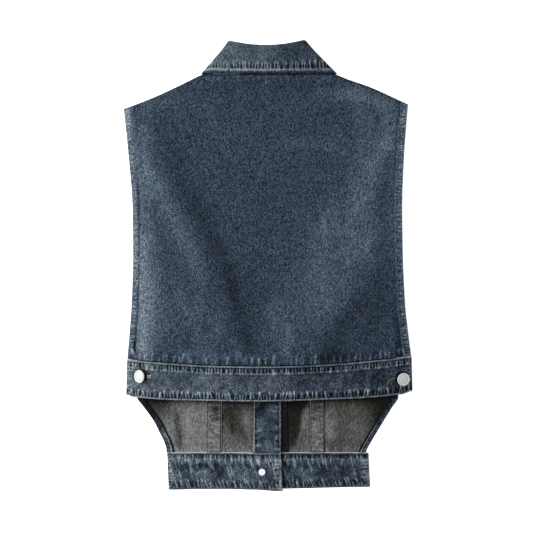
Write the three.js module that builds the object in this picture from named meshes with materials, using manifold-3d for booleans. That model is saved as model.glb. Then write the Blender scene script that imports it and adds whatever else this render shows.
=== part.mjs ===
// Cropped sleeveless denim vest lying face down on a table, its back uppermost.
// Millimetres: +X to the viewer's right, +Y towards the collar, +Z up from the table.
import * as THREE from 'three';
import { mergeVertices } from 'three/addons/utils/BufferGeometryUtils.js';
import Module from 'manifold-3d';

const wasm = await Module();
wasm.setup();

// Cloth
const cloth = 1.1; // one ply of denim
const gap = 0.3; // air at each seam and between plies
const bandThickness = 3.2; // two plies and the seam turned in between them
const bandWidth = 45.5; // both waistbands, from edge to edge
const placketWidth = 36;
const hemWidth = 12; // turned hem along the back's armholes
const frontHemWidth = 10; // turned hem along the fronts' outer edges
const feltWidth = 18; // flat-felled seam down each front

// Levels above the table
const secondPly = cloth + gap; // a strip that lies on one ply
const overlapLift = 2 * secondPly + gap; // the left front lies on the right front and its facing
const bandLift = bandThickness + 2 * gap; // the left waistband end lies on the right one
const bodyRise = 6; // underside of the back over the fronts
const neckRise = 9.4; // underside of the back at the collar
const hemLevel = secondPly; // underside of the back where its hem lies on the table

// Button and tack
const capRadius = 8.6;
const capHeight = 2.6;
const neckRadius = 2.2;
const tackRadius = 4.6;
const tackHeight = 0.8;
const nailRadius = 1.2;

const denim = { color: 0x42505f, roughness: 0.95, metalness: 0 };
const denimInside = { color: 0x666664, roughness: 0.95, metalness: 0 };
const metal = { color: 0xd9dbdc, roughness: 0.3, metalness: 0.9 };
const enamel = { color: 0xe9e8e4, roughness: 0.4, metalness: 0.2 };

const vest = new THREE.Group();

const { lerp, clamp } = THREE.MathUtils;
const smooth = (t) => THREE.MathUtils.smoothstep(t, 0, 1);

// A column of a table at height y, eased between its rows
function at(table, column, y) {
  const last = table.length - 2;
  const above = table.findIndex((row) => row.y > y);
  const i = above < 0 ? last : clamp(above - 1, 0, last);
  const secant = (k) => {
    const n = clamp(k, 0, last);
    return (table[n + 1][column] - table[n][column]) / (table[n + 1].y - table[n].y);
  };
  const slope = (k) => {
    const product = secant(k - 1) * secant(k);
    return product > 0 ? (2 * product) / (secant(k - 1) + secant(k)) : 0;
  };
  const from = table[i];
  const to = table[i + 1];
  const run = to.y - from.y;
  const t = clamp((y - from.y) / run, 0, 1);
  const t2 = t * t;
  const t3 = t2 * t;
  return (
    (2 * t3 - 3 * t2 + 1) * from[column] +
    (t3 - 2 * t2 + t) * run * slope(i) +
    (3 * t2 - 2 * t3) * to[column] +
    (t3 - t2) * run * slope(i + 1)
  );
}

function addMesh(name, geometry, look) {
  geometry.computeVertexNormals();
  const mesh = new THREE.Mesh(geometry, new THREE.MeshStandardMaterial(look));
  mesh.name = name;
  vest.add(mesh);
  return mesh;
}

// Closed wall of cloth: place(u, v, face) is a point of its under face (0) or upper face (1)
function wall(columns, rows, place) {
  const position = [];
  for (const face of [0, 1]) {
    for (let j = 0; j <= rows; j++) {
      for (let i = 0; i <= columns; i++) position.push(...place(i / columns, j / rows, face));
    }
  }
  const id = (i, j, face) => (face * (rows + 1) + j) * (columns + 1) + i;
  const index = [];
  const quad = (a, b, c, d) => index.push(a, b, c, a, c, d);
  for (let j = 0; j < rows; j++) {
    for (let i = 0; i < columns; i++) {
      quad(id(i, j, 1), id(i + 1, j, 1), id(i + 1, j + 1, 1), id(i, j + 1, 1));
      quad(id(i, j, 0), id(i, j + 1, 0), id(i + 1, j + 1, 0), id(i + 1, j, 0));
    }
  }
  for (let i = 0; i < columns; i++) {
    quad(id(i, 0, 0), id(i + 1, 0, 0), id(i + 1, 0, 1), id(i, 0, 1));
    quad(id(i + 1, rows, 0), id(i, rows, 0), id(i, rows, 1), id(i + 1, rows, 1));
  }
  for (let j = 0; j < rows; j++) {
    quad(id(0, j + 1, 0), id(0, j, 0), id(0, j, 1), id(0, j + 1, 1));
    quad(id(columns, j, 0), id(columns, j + 1, 0), id(columns, j + 1, 1), id(columns, j, 1));
  }
  const geometry = new THREE.BufferGeometry();
  geometry.setAttribute('position', new THREE.Float32BufferAttribute(position, 3));
  geometry.setIndex(index);
  return geometry;
}

// Piece lying flat: plan(u, v) is its outline's inside, low(x, y) its underside
function layer(columns, rows, plan, low, thickness = cloth) {
  return wall(columns, rows, (u, v, face) => {
    const [x, y] = plan(u, v);
    return [x, y, low(x, y) + face * thickness];
  });
}

// Inside of four edges, each a function of its own share from 0 to 1
function patch(bottom, top, left, right) {
  const corners = [left(0), right(0), left(1), right(1)];
  return (u, v) =>
    [0, 1].map((k) => {
      const between = lerp(bottom(u)[k], top(u)[k], v) + lerp(left(v)[k], right(v)[k], u);
      const low = lerp(corners[0][k], corners[1][k], u);
      const high = lerp(corners[2][k], corners[3][k], u);
      return between - lerp(low, high, v);
    });
}

const curve = (points) => new THREE.SplineCurve(points.map((p) => new THREE.Vector2(...p)));

// Outline of the back
const armhole = [
  { y: -124, left: -182.6, right: 186.6 },
  { y: -96, left: -180.5, right: 183.5 },
  { y: -49, left: -177.3, right: 178.6 },
  { y: 13, left: -175.4, right: 175.8 },
  { y: 75, left: -176.1, right: 175.0 },
  { y: 140, left: -181.0, right: 177.4 },
  { y: 211, left: -188.4, right: 182.9 },
];
const neckPoint = 47; // where each shoulder meets the neck, from the centre
const leftShoulder = curve([[-188, 204.6], [-144, 221], [-92, 245.2], [-neckPoint, 264.2]]);
const rightShoulder = curve([[neckPoint, 264.8], [97, 245], [136, 231.4], [182.8, 210.8]]);
const shoulderShare = 0.38; // of the top edge's width, each side of the neck

// Seam between the back and its waistband, and the waistband's lower edge
const halfWaist = 184;
function waistSeam(x) {
  const across = x / halfWaist;
  return -130.5 + 10.9 * across ** 2 + 1.9 * across;
}

// Seam between the back and the collar, and the collar's fold line
const neckSeam = (x) => 254.7 + 10.3 * (x / neckPoint) ** 2;
const collarFold = (x) => 285.5 + 5.15 * (x / 50) ** 2 + 0.65 * (x / 50);
const collarEdge = 249.6; // lower edge of the fall

function backTop(u) {
  if (u < shoulderShare) return leftShoulder.getPoint(u / shoulderShare).toArray();
  if (u > 1 - shoulderShare) return rightShoulder.getPoint(1 - (1 - u) / shoulderShare).toArray();
  const across = (u - shoulderShare) / (1 - 2 * shoulderShare);
  const x = lerp(-neckPoint, neckPoint, across);
  return [x, neckSeam(x) - 2 * gap - 0.2 * Math.abs(x / neckPoint)];
}

function backPlan(u, v) {
  const eased = lerp(u, 0.5 - 0.5 * Math.cos(Math.PI * u), 0.45);
  const sides = { left: leftShoulder.getPoint(0).toArray(), right: rightShoulder.getPoint(1).toArray() };
  const edge = (side) => (share) => {
    const x = at(armhole, side, armhole[0].y);
    const y = lerp(waistSeam(x) + gap, sides[side][1], share);
    return share === 1 ? sides[side] : [at(armhole, side, y), y];
  };
  const bottom = (share) => {
    const x = lerp(edge('left')(0)[0], edge('right')(0)[0], share);
    return [x, waistSeam(x) + gap];
  };
  return patch(bottom, backTop, edge('left'), edge('right'))(eased, v);
}

// Soft folds of the back: ends of each ridge, its height and half width
const folds = [
  { x1: -155, y1: 175, x2: -22, y2: -105, height: 4.2, width: 24 },
  { x1: 155, y1: 160, x2: 30, y2: -85, height: 4.2, width: 26 },
  { x1: -158, y1: 60, x2: -150, y2: -100, height: 2.4, width: 13 },
  { x1: 150, y1: 30, x2: 118, y2: -95, height: 2.2, width: 14 },
  { x1: 92, y1: 228, x2: 140, y2: 190, height: 1.6, width: 10 },
  { x1: 8, y1: -60, x2: 12, y2: -118, height: 1.8, width: 11 },
  { x1: -88, y1: -70, x2: -92, y2: -120, height: 1.5, width: 10 },
];

function foldHeight(x, y) {
  let height = 0;
  for (const fold of folds) {
    const dx = fold.x2 - fold.x1;
    const dy = fold.y2 - fold.y1;
    const length = Math.hypot(dx, dy);
    const along = ((x - fold.x1) * dx + (y - fold.y1) * dy) / length ** 2;
    const aside = ((x - fold.x1) * dy - (y - fold.y1) * dx) / length / fold.width;
    const taper = smooth(along / 0.3 + 0.5) * smooth((1 - along) / 0.3 + 0.5);
    height += fold.height * taper * Math.exp(-(aside ** 2));
  }
  return height;
}

// Lower edge of the collar's front leaves, which lie on the table under the fronts
const leafPoint = { x: 49, y: 187 };
const leafCorner = { x: 86.6, y: collarEdge };
function leafEdge(x) {
  const slope = (leafCorner.y - leafPoint.y) / (leafCorner.x - leafPoint.x);
  return leafPoint.y + slope * Math.max(0, Math.abs(x) - leafPoint.x);
}
const nearLeaf = (x, y) => smooth((y - leafEdge(x)) / 60 + 1);

// Underside of the back waistband, lifted by the front button placket under its middle
const bandLow = (x) => 3.9 + 2.1 * smooth((150 - Math.abs(x)) / 100);

// Underside of the back
function backLow(x, y) {
  const inside = Math.min(x - at(armhole, 'left', y), at(armhole, 'right', y) - x);
  const body = hemLevel + (bodyRise - hemLevel) * smooth(inside / 60);
  const open = body + (neckRise - bodyRise) * nearLeaf(x, y);
  const lifted = open + foldHeight(x, y) * smooth(inside / 18) * smooth((235 - y) / 30);
  return lerp(lifted, bandLow(x) + 1.05, smooth((-84 - y) / 38));
}

function addBack() {
  addMesh('back_panel', layer(34, 24, backPlan, backLow), denim);
  for (const side of ['left', 'right']) {
    const shoulder = side === 'left' ? leftShoulder.getPoint(0) : rightShoulder.getPoint(1);
    const plan = (u, v) => {
      const seam = waistSeam(at(armhole, side, armhole[0].y)) + gap;
      const y = lerp(seam, shoulder.y, v);
      const inset = side === 'left' ? u : u - 1;
      return [at(armhole, side, y) + inset * hemWidth, y];
    };
    const low = (x, y) => Math.max(backLow(x, y) - secondPly, 0);
    addMesh(`back_armhole_hem_${side}`, layer(2, 24, plan, low), denim);
  }
}

// Outer edge of each front: up from its waistband, round the wing under the back, up the armhole
const frontEdge = [
  { y: -243.5, left: -131.5, right: 127.6 },
  { y: -236.6, left: -132.4, right: 130.5 },
  { y: -226, left: -136.3, right: 136.6 },
  { y: -215.8, left: -141.5, right: 142.7 },
  { y: -205, left: -146.6, right: 149.2 },
  { y: -195, left: -153.2, right: 155.3 },
  { y: -184.6, left: -160.8, right: 161.8 },
  { y: -170, left: -170.4, right: 170.4 },
  { y: -131, left: -170.4, right: 170.4 },
  { y: -104, left: -160, right: 160 },
  { y: -60, left: -150, right: 150 },
  { y: 85, left: -148, right: 148 },
  { y: 155, left: -151, right: 149 },
  { y: 211, left: -175, right: 170 },
];
const centreSeam = { left: -60.6, right: 55.7 }; // felled seam at the waistband
const frontWaist = -243.2; // upper edge of the front waistband
const frontEnd = 17.3; // the left front's free edge, lying on the right front
const rightEnd = frontEnd - placketWidth; // the right front's free edge, under the left front
const shoulderSplit = 0.45; // where the felled seam meets the shoulder, from its outer end

const sign = (side) => (side === 'left' ? -1 : 1);

// Point of a shoulder seam, share 0 at the armhole and 1 at the neck
function shoulderPoint(side, share) {
  const line = side === 'left' ? leftShoulder : rightShoulder;
  const [x, y] = line.getPoint(side === 'left' ? share : 1 - share).toArray();
  return [x - sign(side) * (hemWidth + 1) * (1 - share), y - 2 * (1 - share)];
}

// Felled seam from the waistband up to the shoulder
function felledSeam(side, v) {
  const [topX, topY] = shoulderPoint(side, shoulderSplit);
  const bend = Math.max(0, (v - 0.3) / 0.7);
  return [lerp(centreSeam[side], topX, bend ** 1.6), lerp(frontWaist + gap, topY, v)];
}

// Front neck edge, share 0 at the shoulder and 1 at the centre front
const neckCurve = (side) =>
  new THREE.QuadraticBezierCurve(
    new THREE.Vector2(sign(side) * (neckPoint - 1), 265),
    new THREE.Vector2(sign(side) * 44, 225),
    new THREE.Vector2(sign(side) * 2.3, 198),
  );

// The fronts rise over the collar's leaves; the left one also over the right one's placket
const leafLift = 3.3;
const overLeaf = (x, y) => leafLift * nearLeaf(x, y);
const overPlacket = (x) => overlapLift * smooth((x - rightEnd + 20) / 20);
const frontLow = { left: (x, y) => overLeaf(x, y) + overPlacket(x), right: overLeaf };
const onFront = (side) => (x, y) => frontLow[side](x, y) + secondPly;

// Rows of a front crowd towards the waistband, where its wrong side shows
const frontRow = (v) => v ** 1.1;
const centreColumns = 13;
const centreRows = 16;
const facingColumns = { left: 6, right: 8 }; // of the centre panel, turned back from its free edge

function sidePlan(side) {
  const outer = (v) => {
    const [topX, topY] = shoulderPoint(side, 0);
    const y = lerp(frontWaist + gap, topY, v);
    return v === 1 ? [topX, topY] : [at(frontEdge, side, y), y];
  };
  const inner = (v) => {
    const [x, y] = felledSeam(side, v);
    return [x + (sign(side) * gap) / 2, y];
  };
  const bottom = (u) => [lerp(outer(0)[0], inner(0)[0], u), frontWaist + gap];
  const top = (u) => {
    const [x, y] = shoulderPoint(side, u * shoulderSplit);
    return [x + (u * sign(side) * gap) / 2, y];
  };
  const plan = patch(bottom, top, outer, inner);
  return (u, v) => plan(side === 'left' ? u : 1 - u, frontRow(v));
}

function centrePlan(side) {
  const end = side === 'left' ? frontEnd : rightEnd;
  const neck = neckCurve(side);
  const shoulderShareOfTop = 0.35;
  const neckShareOfTop = 0.45;
  const inner = (v) => {
    const [x, y] = felledSeam(side, v);
    return [x - (sign(side) * gap) / 2, y];
  };
  const neckEdge = (share) => {
    const [x, y] = neck.getPoint(share).toArray();
    return [x + sign(side) * 2 * gap, y - (3 + 5 * share) * gap];
  };
  const top = (u) => {
    if (u < shoulderShareOfTop) {
      const share = lerp(shoulderSplit, 1, u / shoulderShareOfTop);
      const [x, y] = shoulderPoint(side, share);
      const [neckX, neckY] = neckEdge(0);
      const [endX, endY] = shoulderPoint(side, 1);
      const blend = u / shoulderShareOfTop;
      const start = (1 - blend) * sign(side) * (gap / 2);
      return [x + blend * (neckX - endX) - start, y + blend * (neckY - endY)];
    }
    const along = (u - shoulderShareOfTop) / neckShareOfTop;
    if (along < 1) return neckEdge(along);
    const [x, y] = neckEdge(1);
    return [lerp(x, end, (along - 1) / ((1 - shoulderShareOfTop) / neckShareOfTop - 1)), y];
  };
  const free = (v) => [end, lerp(frontWaist + gap, top(1)[1], v)];
  const bottom = (u) => [lerp(inner(0)[0], end, u), frontWaist + gap];
  const plan = patch(bottom, top, inner, free);
  return (u, v) => plan(side === 'left' ? u : 1 - u, frontRow(v));
}

// Strip along an outer edge line(v), its width towards the centre
function stripPlan(side, line, width) {
  return (u, v) => {
    const [x, y] = line(v);
    return [x + (side === 'left' ? u : u - 1) * width, y];
  };
}

function addFront(side) {
  addMesh(`front_${side}_side`, layer(5, 26, sidePlan(side), frontLow[side]), denimInside);
  const centre = centrePlan(side);
  const panel = layer(centreColumns, centreRows, centre, frontLow[side]);
  addMesh(`front_${side}_centre`, panel, denimInside);

  // The felled seam lies on the side panel and stops just short of the shoulder
  const fell = (u, v) => {
    const [x, y] = felledSeam(side, frontRow(v) * 0.985);
    return [x + (side === 'left' ? u - 1 : u) * feltWidth, y];
  };
  addMesh(`front_${side}_felled_seam`, layer(2, 16, fell, onFront(side)), denimInside);

  // The hem is broken where the side tab is sewn on
  const edge = (from, to) => (v) => {
    const y = lerp(from, to, v);
    return [at(frontEdge, side, y), y];
  };
  const lower = stripPlan(side, edge(frontWaist + gap, -171), frontHemWidth);
  addMesh(`front_${side}_side_hem`, layer(1, 8, lower, onFront(side)), denim);
  const upper = stripPlan(side, edge(-118, 155), frontHemWidth);
  addMesh(`front_${side}_armhole_hem`, layer(1, 16, upper, onFront(side)), denim);

  // Facing turned back along the free edge; the right one reaches past the left front
  const share = facingColumns[side] / centreColumns;
  const facing = (u, v) => centre(side === 'left' ? lerp(1 - share, 1, u) : u * share, v);
  const placket = layer(facingColumns[side], centreRows, facing, onFront(side));
  addMesh(`front_${side}_placket`, placket, denim);
}

// Between three.js geometry and manifold solids
function fromManifold(solid) {
  const mesh = solid.getMesh();
  const geometry = new THREE.BufferGeometry();
  geometry.setAttribute('position', new THREE.Float32BufferAttribute(mesh.vertProperties, 3));
  geometry.setIndex(Array.from(mesh.triVerts));
  return geometry;
}

function manifold(geometry) {
  const bare = new THREE.BufferGeometry();
  bare.setAttribute('position', geometry.getAttribute('position').clone());
  bare.setIndex(geometry.getIndex());
  const merged = mergeVertices(bare);
  return new wasm.Manifold(
    new wasm.Mesh({
      numProp: 3,
      vertProperties: merged.getAttribute('position').array,
      triVerts: Uint32Array.from(merged.getIndex().array),
    }),
  );
}

const cut = (geometry, hole) => fromManifold(manifold(geometry).subtract(hole));

// Round hole for a nail, and a buttonhole with a round end for a button's neck
const tall = 40;
const nailHole = (x, y) =>
  wasm.Manifold.cylinder(tall, nailRadius + gap, nailRadius + gap, 16, true).translate([x, y, 0]);
function buttonhole(x, y, length, degrees) {
  const eye = wasm.Manifold.cylinder(tall, neckRadius + gap, neckRadius + gap, 20, true);
  const slit = wasm.Manifold.cube([length, 1.4, tall], true).translate([length / 2, 0, 0]);
  return eye.add(slit).rotate([0, 0, degrees]).translate([x, y, 0]);
}

// Button: a turned cap that leans about Y, on an upright neck that goes down from the origin
function buttonGeometry(neckLength, lean) {
  const rim = capRadius;
  const profile = [
    [0, 0],
    [rim - 1.2, 0],
    [rim - 0.2, 0.4],
    [rim, 1],
    [rim - 0.3, 1.6],
    [rim - 1.2, 2.1],
    [rim - 3, capHeight - 0.15],
    [0, capHeight],
  ];
  const cap = new THREE.LatheGeometry(profile.map((p) => new THREE.Vector2(...p)), 28);
  const reach = neckLength + capHeight / 3;
  const neck = wasm.Manifold.cylinder(reach, neckRadius, neckRadius, 20).translate([0, 0, -neckLength]);
  return fromManifold(manifold(cap.rotateX(Math.PI / 2)).rotate([0, lean, 0]).add(neck));
}

// Tack: a flat head with a nail standing on it
function tackGeometry(nailLength) {
  const profile = [
    [0, 0],
    [tackRadius - 0.3, 0],
    [tackRadius, 0.25],
    [tackRadius - 0.4, tackHeight],
    [nailRadius, tackHeight],
    [nailRadius, tackHeight + nailLength],
    [0, tackHeight + nailLength],
  ];
  const turned = new THREE.LatheGeometry(profile.map((p) => new THREE.Vector2(...p)), 18);
  return turned.rotateX(Math.PI / 2);
}

// Side tab: sewn to the wing, folded up round the side, its end under the back waistband
const tabSeam = 170.4; // from the centre, where the tab starts
const tabTip = 148;
const tabWidth = { from: -165.5, to: -127 };
const tabTop = secondPly + tackHeight + gap; // underside of its upper leaf, above the tack's head
const sideButtons = [
  { side: 'left', x: -167, y: -143, slit: 15, turn: 0, lean: -30, tabFold: 182 },
  { side: 'right', x: 176.6, y: -147, slit: 20, turn: 205, lean: 14, tabFold: 185 },
];

function addSide(button) {
  const s = sign(button.side);
  const outer = (tabTop + cloth) / 2; // radius of the fold outside the cloth
  const foldAt = button.tabFold - outer;
  const lower = 3; // steps along the lower leaf, round the fold and along the upper leaf
  const round = 7;
  const upper = 4;
  const steps = lower + round + upper;
  const tab = wall(steps, 6, (u, v, face) => {
    const y = lerp(tabWidth.from, tabWidth.to, v);
    const radius = outer - face * cloth;
    const i = Math.round(u * steps);
    if (i < lower) return [s * lerp(tabSeam + gap, foldAt, i / lower), y, outer - radius];
    if (i > lower + round) return [s * lerp(tabTip, foldAt, (steps - i) / upper), y, outer + radius];
    const turn = ((i - lower) / round) * Math.PI;
    return [s * (foldAt + radius * Math.sin(turn)), y, outer - radius * Math.cos(turn)];
  });
  if (s < 0) tab.setIndex(Array.from(tab.getIndex().array).reverse());
  const hole = nailHole(button.x, button.y).trimByPlane([0, 0, 1], secondPly);
  addMesh(`side_tab_${button.side}`, cut(tab, hole), denim);

  const tack = addMesh(`tack_${button.side}`, tackGeometry(cloth + gap), metal);
  tack.position.set(button.x, button.y, secondPly);

  // The cap leans, its low rim on the band, and its neck goes down through the buttonhole to the tab
  const rise = Math.sin(THREE.MathUtils.degToRad(Math.abs(button.lean))) * capRadius;
  const seat = bandLow(button.x) + bandThickness + gap + rise;
  const neckLength = seat - (tabTop + cloth + gap);
  const cap = addMesh(`button_${button.side}`, buttonGeometry(neckLength, button.lean), metal);
  cap.position.set(button.x, button.y, seat);
}

function addWaistbands() {
  const ends = { left: -183.4, right: 188 };
  const back = (u, v) => {
    const x = lerp(ends.left + 1.2 * v, ends.right - 1.2 * v, u);
    return [x, waistSeam(x) - bandWidth * (1 - v)];
  };
  const [one, two] = sideButtons.map((b) => buttonhole(b.x, b.y, b.slit, b.turn));
  addMesh('back_waistband', cut(layer(30, 3, back, bandLow, bandThickness), one.add(two)), denim);

  // Front waistband: the right half passes under the left one as far as the placket
  const lowerEdge = {
    left: (x) => -290 - 2.5 * smooth((x + 20) / 30),
    right: () => -288.5,
  };
  const outerEnd = { left: -131.3, right: 131.5 };
  const nearCap = (x, y) => Math.hypot(x - frontButton.x, y - frontButton.y);
  const overCap = (x, y) => (capHeight + gap) * smooth((30 - nearCap(x, y)) / 20);
  const overRight = (x, y) => overCap(x, y) + bandLift * smooth((x + 44) / 22);
  const bands = {
    left: { from: outerEnd.left, to: frontEnd, low: overRight },
    right: { from: rightEnd - 1, to: outerEnd.right, low: overCap },
  };
  const holes = {
    left: nailHole(frontButton.x, frontButton.y),
    right: buttonhole(frontButton.x, frontButton.y, 15, 0),
  };
  for (const side of ['left', 'right']) {
    const { from, to, low } = bands[side];
    const plan = (u, v) => {
      const x = lerp(from, to, u);
      return [x, lerp(lowerEdge[side](x), frontWaist, v)];
    };
    const band = layer(18, 5, plan, low, bandThickness);
    addMesh(`front_waistband_${side}`, cut(band, holes[side]), denim);
  }
}

// Button of the front waistband, its cap face down on the table, and its tack on top
const frontButton = { x: -7.3, y: -267.3 };
function addFrontButton() {
  const button = addMesh('front_button', buttonGeometry(bandThickness + gap, 0), metal);
  button.rotation.x = Math.PI;
  button.position.set(frontButton.x, frontButton.y, capHeight);
  const top = capHeight + gap + bandLift + bandThickness + gap;
  const tack = addMesh('front_tack', tackGeometry(bandThickness), enamel);
  tack.rotation.x = Math.PI;
  tack.position.set(frontButton.x, frontButton.y, top + tackHeight);
}

// Collar: stand inside the neck, roll at the fold line, fall outside; flattened from back to front
const roll = 2.3; // radius of the roll, to the middle of the two plies
const standHalf = 1.6; // half the height between the back and front halves of the stand
const settleDepth = 1.3; // the fall's edge sinks towards the back
const collarMiddle = standHalf + 2 * roll + cloth + gap / 2;
const collarSides = {
  left: { fold: 50.3, edge: 85.4 },
  right: { fold: 48.3, edge: 89 },
};
const foldFront = (side) =>
  new THREE.QuadraticBezierCurve(
    new THREE.Vector2(sign(side) * collarSides[side].fold, collarFold(50)),
    new THREE.Vector2(sign(side) * 35, 250),
    new THREE.Vector2(sign(side) * 2.3, 224),
  );

// Collar stations: share of the back's width, turn round the side, share of the front
function collarStations() {
  const back = 12;
  const turns = 5;
  const front = 7;
  const half = (side) => [
    ...Array.from({ length: turns }, (_, k) => ({ side, turn: ((k + 1) / (turns + 1)) * Math.PI })),
    ...Array.from({ length: front + 1 }, (_, k) => ({ side, turn: Math.PI, front: k / front })),
  ];
  const across = Array.from({ length: back + 1 }, (_, k) => (2 * k) / back - 1);
  return [
    ...half('left').reverse(),
    ...across.map((share) => ({ side: share < 0 ? 'left' : 'right', turn: 0, back: Math.abs(share) })),
    ...half('right'),
  ];
}

// Section of the collar from the fall's edge over the roll to the neck seam
const collarSection = [
  { part: 'fall', share: 1 },
  { part: 'fall', share: 0.66 },
  { part: 'fall', share: 0.33 },
  ...[90, 45, 0, -45, -90].map((angle) => ({ part: 'roll', angle: THREE.MathUtils.degToRad(angle) })),
  { part: 'stand', share: 0.5 },
  { part: 'stand', share: 1 },
];

function collarPoint(station, section, n, extra) {
  const { side, turn } = station;
  const s = sign(side);
  const share = station.back ?? 1;
  const { fold, edge } = collarSides[side];
  let depth;
  let half;
  if (section.part === 'fall') half = standHalf + 2 * roll + n;
  else if (section.part === 'stand') half = standHalf - n;
  else {
    half = standHalf + roll + (roll + n) * Math.sin(section.angle);
    depth = roll - (roll + n) * Math.cos(section.angle);
  }
  const isFall = section.part === 'fall' || section.angle > 0;
  let x;
  let y;
  if (station.front === undefined) {
    const creaseFold = collarFold(s * fold);
    const topX = fold - (standHalf + 2 * roll);
    const at0 = s * share * fold;
    const foldY = share < 1 ? collarFold(at0) : creaseFold;
    const reach = isFall ? foldY - collarEdge + extra(at0) : foldY - neckSeam(at0 * (neckPoint / fold));
    if (depth === undefined) depth = section.share * reach;
    const widen = isFall ? (edge - fold) / (creaseFold - collarEdge) : (neckPoint - 1 - fold) / 26;
    x = s * share * (topX + widen * Math.max(depth, 0));
    y = foldY - depth;
  } else {
    const foldPoint = foldFront(side).getPoint(station.front);
    const edgePoint = new THREE.Vector2(
      s * lerp(edge, leafPoint.x, station.front),
      lerp(collarEdge, leafPoint.y, station.front),
    );
    const target = isFall ? edgePoint : neckCurve(side).getPoint(station.front);
    const reach = foldPoint.distanceTo(target);
    const along = depth === undefined ? section.share : depth / reach;
    const inward = s * (standHalf + 2 * roll);
    x = lerp(foldPoint.x, target.x, along) - inward * (1 - station.front);
    y = lerp(foldPoint.y, target.y, along);
  }
  const settle = isFall && turn < Math.PI / 2 ? settleDepth * (section.share ?? 0) ** 2 * Math.cos(turn) : 0;
  return [x + s * half * Math.sin(turn), y, collarMiddle + half * Math.cos(turn) - settle];
}

function addCollar() {
  const stations = collarStations();
  const ply = (from, extra) =>
    wall(stations.length - 1, collarSection.length - 1, (u, v, face) => {
      const station = stations[Math.round(u * (stations.length - 1))];
      const section = collarSection[Math.round(v * (collarSection.length - 1))];
      return collarPoint(station, section, from + face * cloth, extra);
    });
  addMesh('collar', ply(gap / 2, () => 0), denim);
  // The undercollar peeps out under the collar's edge on the left
  const peep = (x) => 2.2 * smooth((x + 51) / 12) * smooth((-18 - x) / 14);
  addMesh('undercollar', ply(-gap / 2 - cloth, peep), denim);
}

addBack();
addFront('left');
addFront('right');
for (const button of sideButtons) addSide(button);
addWaistbands();
addFrontButton();
addCollar();

export default vest;
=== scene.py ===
from functools import partial

import bmesh
import bpy
import numpy as np
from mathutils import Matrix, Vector


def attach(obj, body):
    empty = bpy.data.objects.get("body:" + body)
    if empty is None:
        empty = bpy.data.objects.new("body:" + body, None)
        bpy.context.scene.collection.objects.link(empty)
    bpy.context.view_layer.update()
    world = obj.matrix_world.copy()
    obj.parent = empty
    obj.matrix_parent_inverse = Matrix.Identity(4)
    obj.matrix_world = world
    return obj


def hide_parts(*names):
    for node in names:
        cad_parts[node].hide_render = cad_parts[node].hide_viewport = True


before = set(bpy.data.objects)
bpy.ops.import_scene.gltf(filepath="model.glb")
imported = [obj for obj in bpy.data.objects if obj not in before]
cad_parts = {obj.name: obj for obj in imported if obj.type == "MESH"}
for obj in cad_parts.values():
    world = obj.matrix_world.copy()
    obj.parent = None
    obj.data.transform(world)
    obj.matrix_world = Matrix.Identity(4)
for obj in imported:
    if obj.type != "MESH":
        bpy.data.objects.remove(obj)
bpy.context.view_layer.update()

# Back: one piece of washed denim from the shoulder seams down to the waistband, without a yoke.
# Its warp runs down the body. It lies loosely over the fronts, so it keeps two long slack folds.
# Sizes in this file are in millimetres, which MM turns into metres, but for the sheets' flat sizes.
MM = 0.001
cloth = 1.1
gap = 0.3
second_ply = cloth + gap
column = {"left": 1, "right": 2}
sign = {"left": -1, "right": 1}
sides = ("left", "right")
armhole = np.array([
    (-124, -182.6, 186.6), (-96, -180.5, 183.5), (-49, -177.3, 178.6), (13, -175.4, 175.8),
    (75, -176.1, 175.0), (140, -181.0, 177.4), (211, -188.4, 182.9),
])
neck_point = 47
left_shoulder = np.array([(-188, 204.6), (-144, 221), (-92, 245.2), (-neck_point, 264.2)])
right_shoulder = np.array([(neck_point, 264.8), (97, 245), (136, 231.4), (182.8, 210.8)])
shoulder_end = {"left": left_shoulder[0], "right": right_shoulder[-1]}
shoulder_share = 0.38
shoulder_fall = {"left": 0.423, "right": 0.395}
half_waist = 184
body_rise = 6
neck_rise = 9.4
hem_level = second_ply
hem_ridge = {"left": 11.2, "right": 8.5}
hem_seed = {"left": 11, "right": 12}
collar_shade_line = 248.3

# Ends of each fold's ridge, its height and its half width
folds = [
    (-155, 175, -22, -105, 4.2, 24), (155, 160, 30, -85, 4.2, 26), (-158, 60, -150, -100, 2.4, 13),
    (150, 30, 118, -95, 2.2, 14), (92, 228, 140, 190, 1.6, 10), (8, -60, 12, -118, 1.8, 11),
    (-88, -70, -92, -120, 1.5, 10),
]

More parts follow.
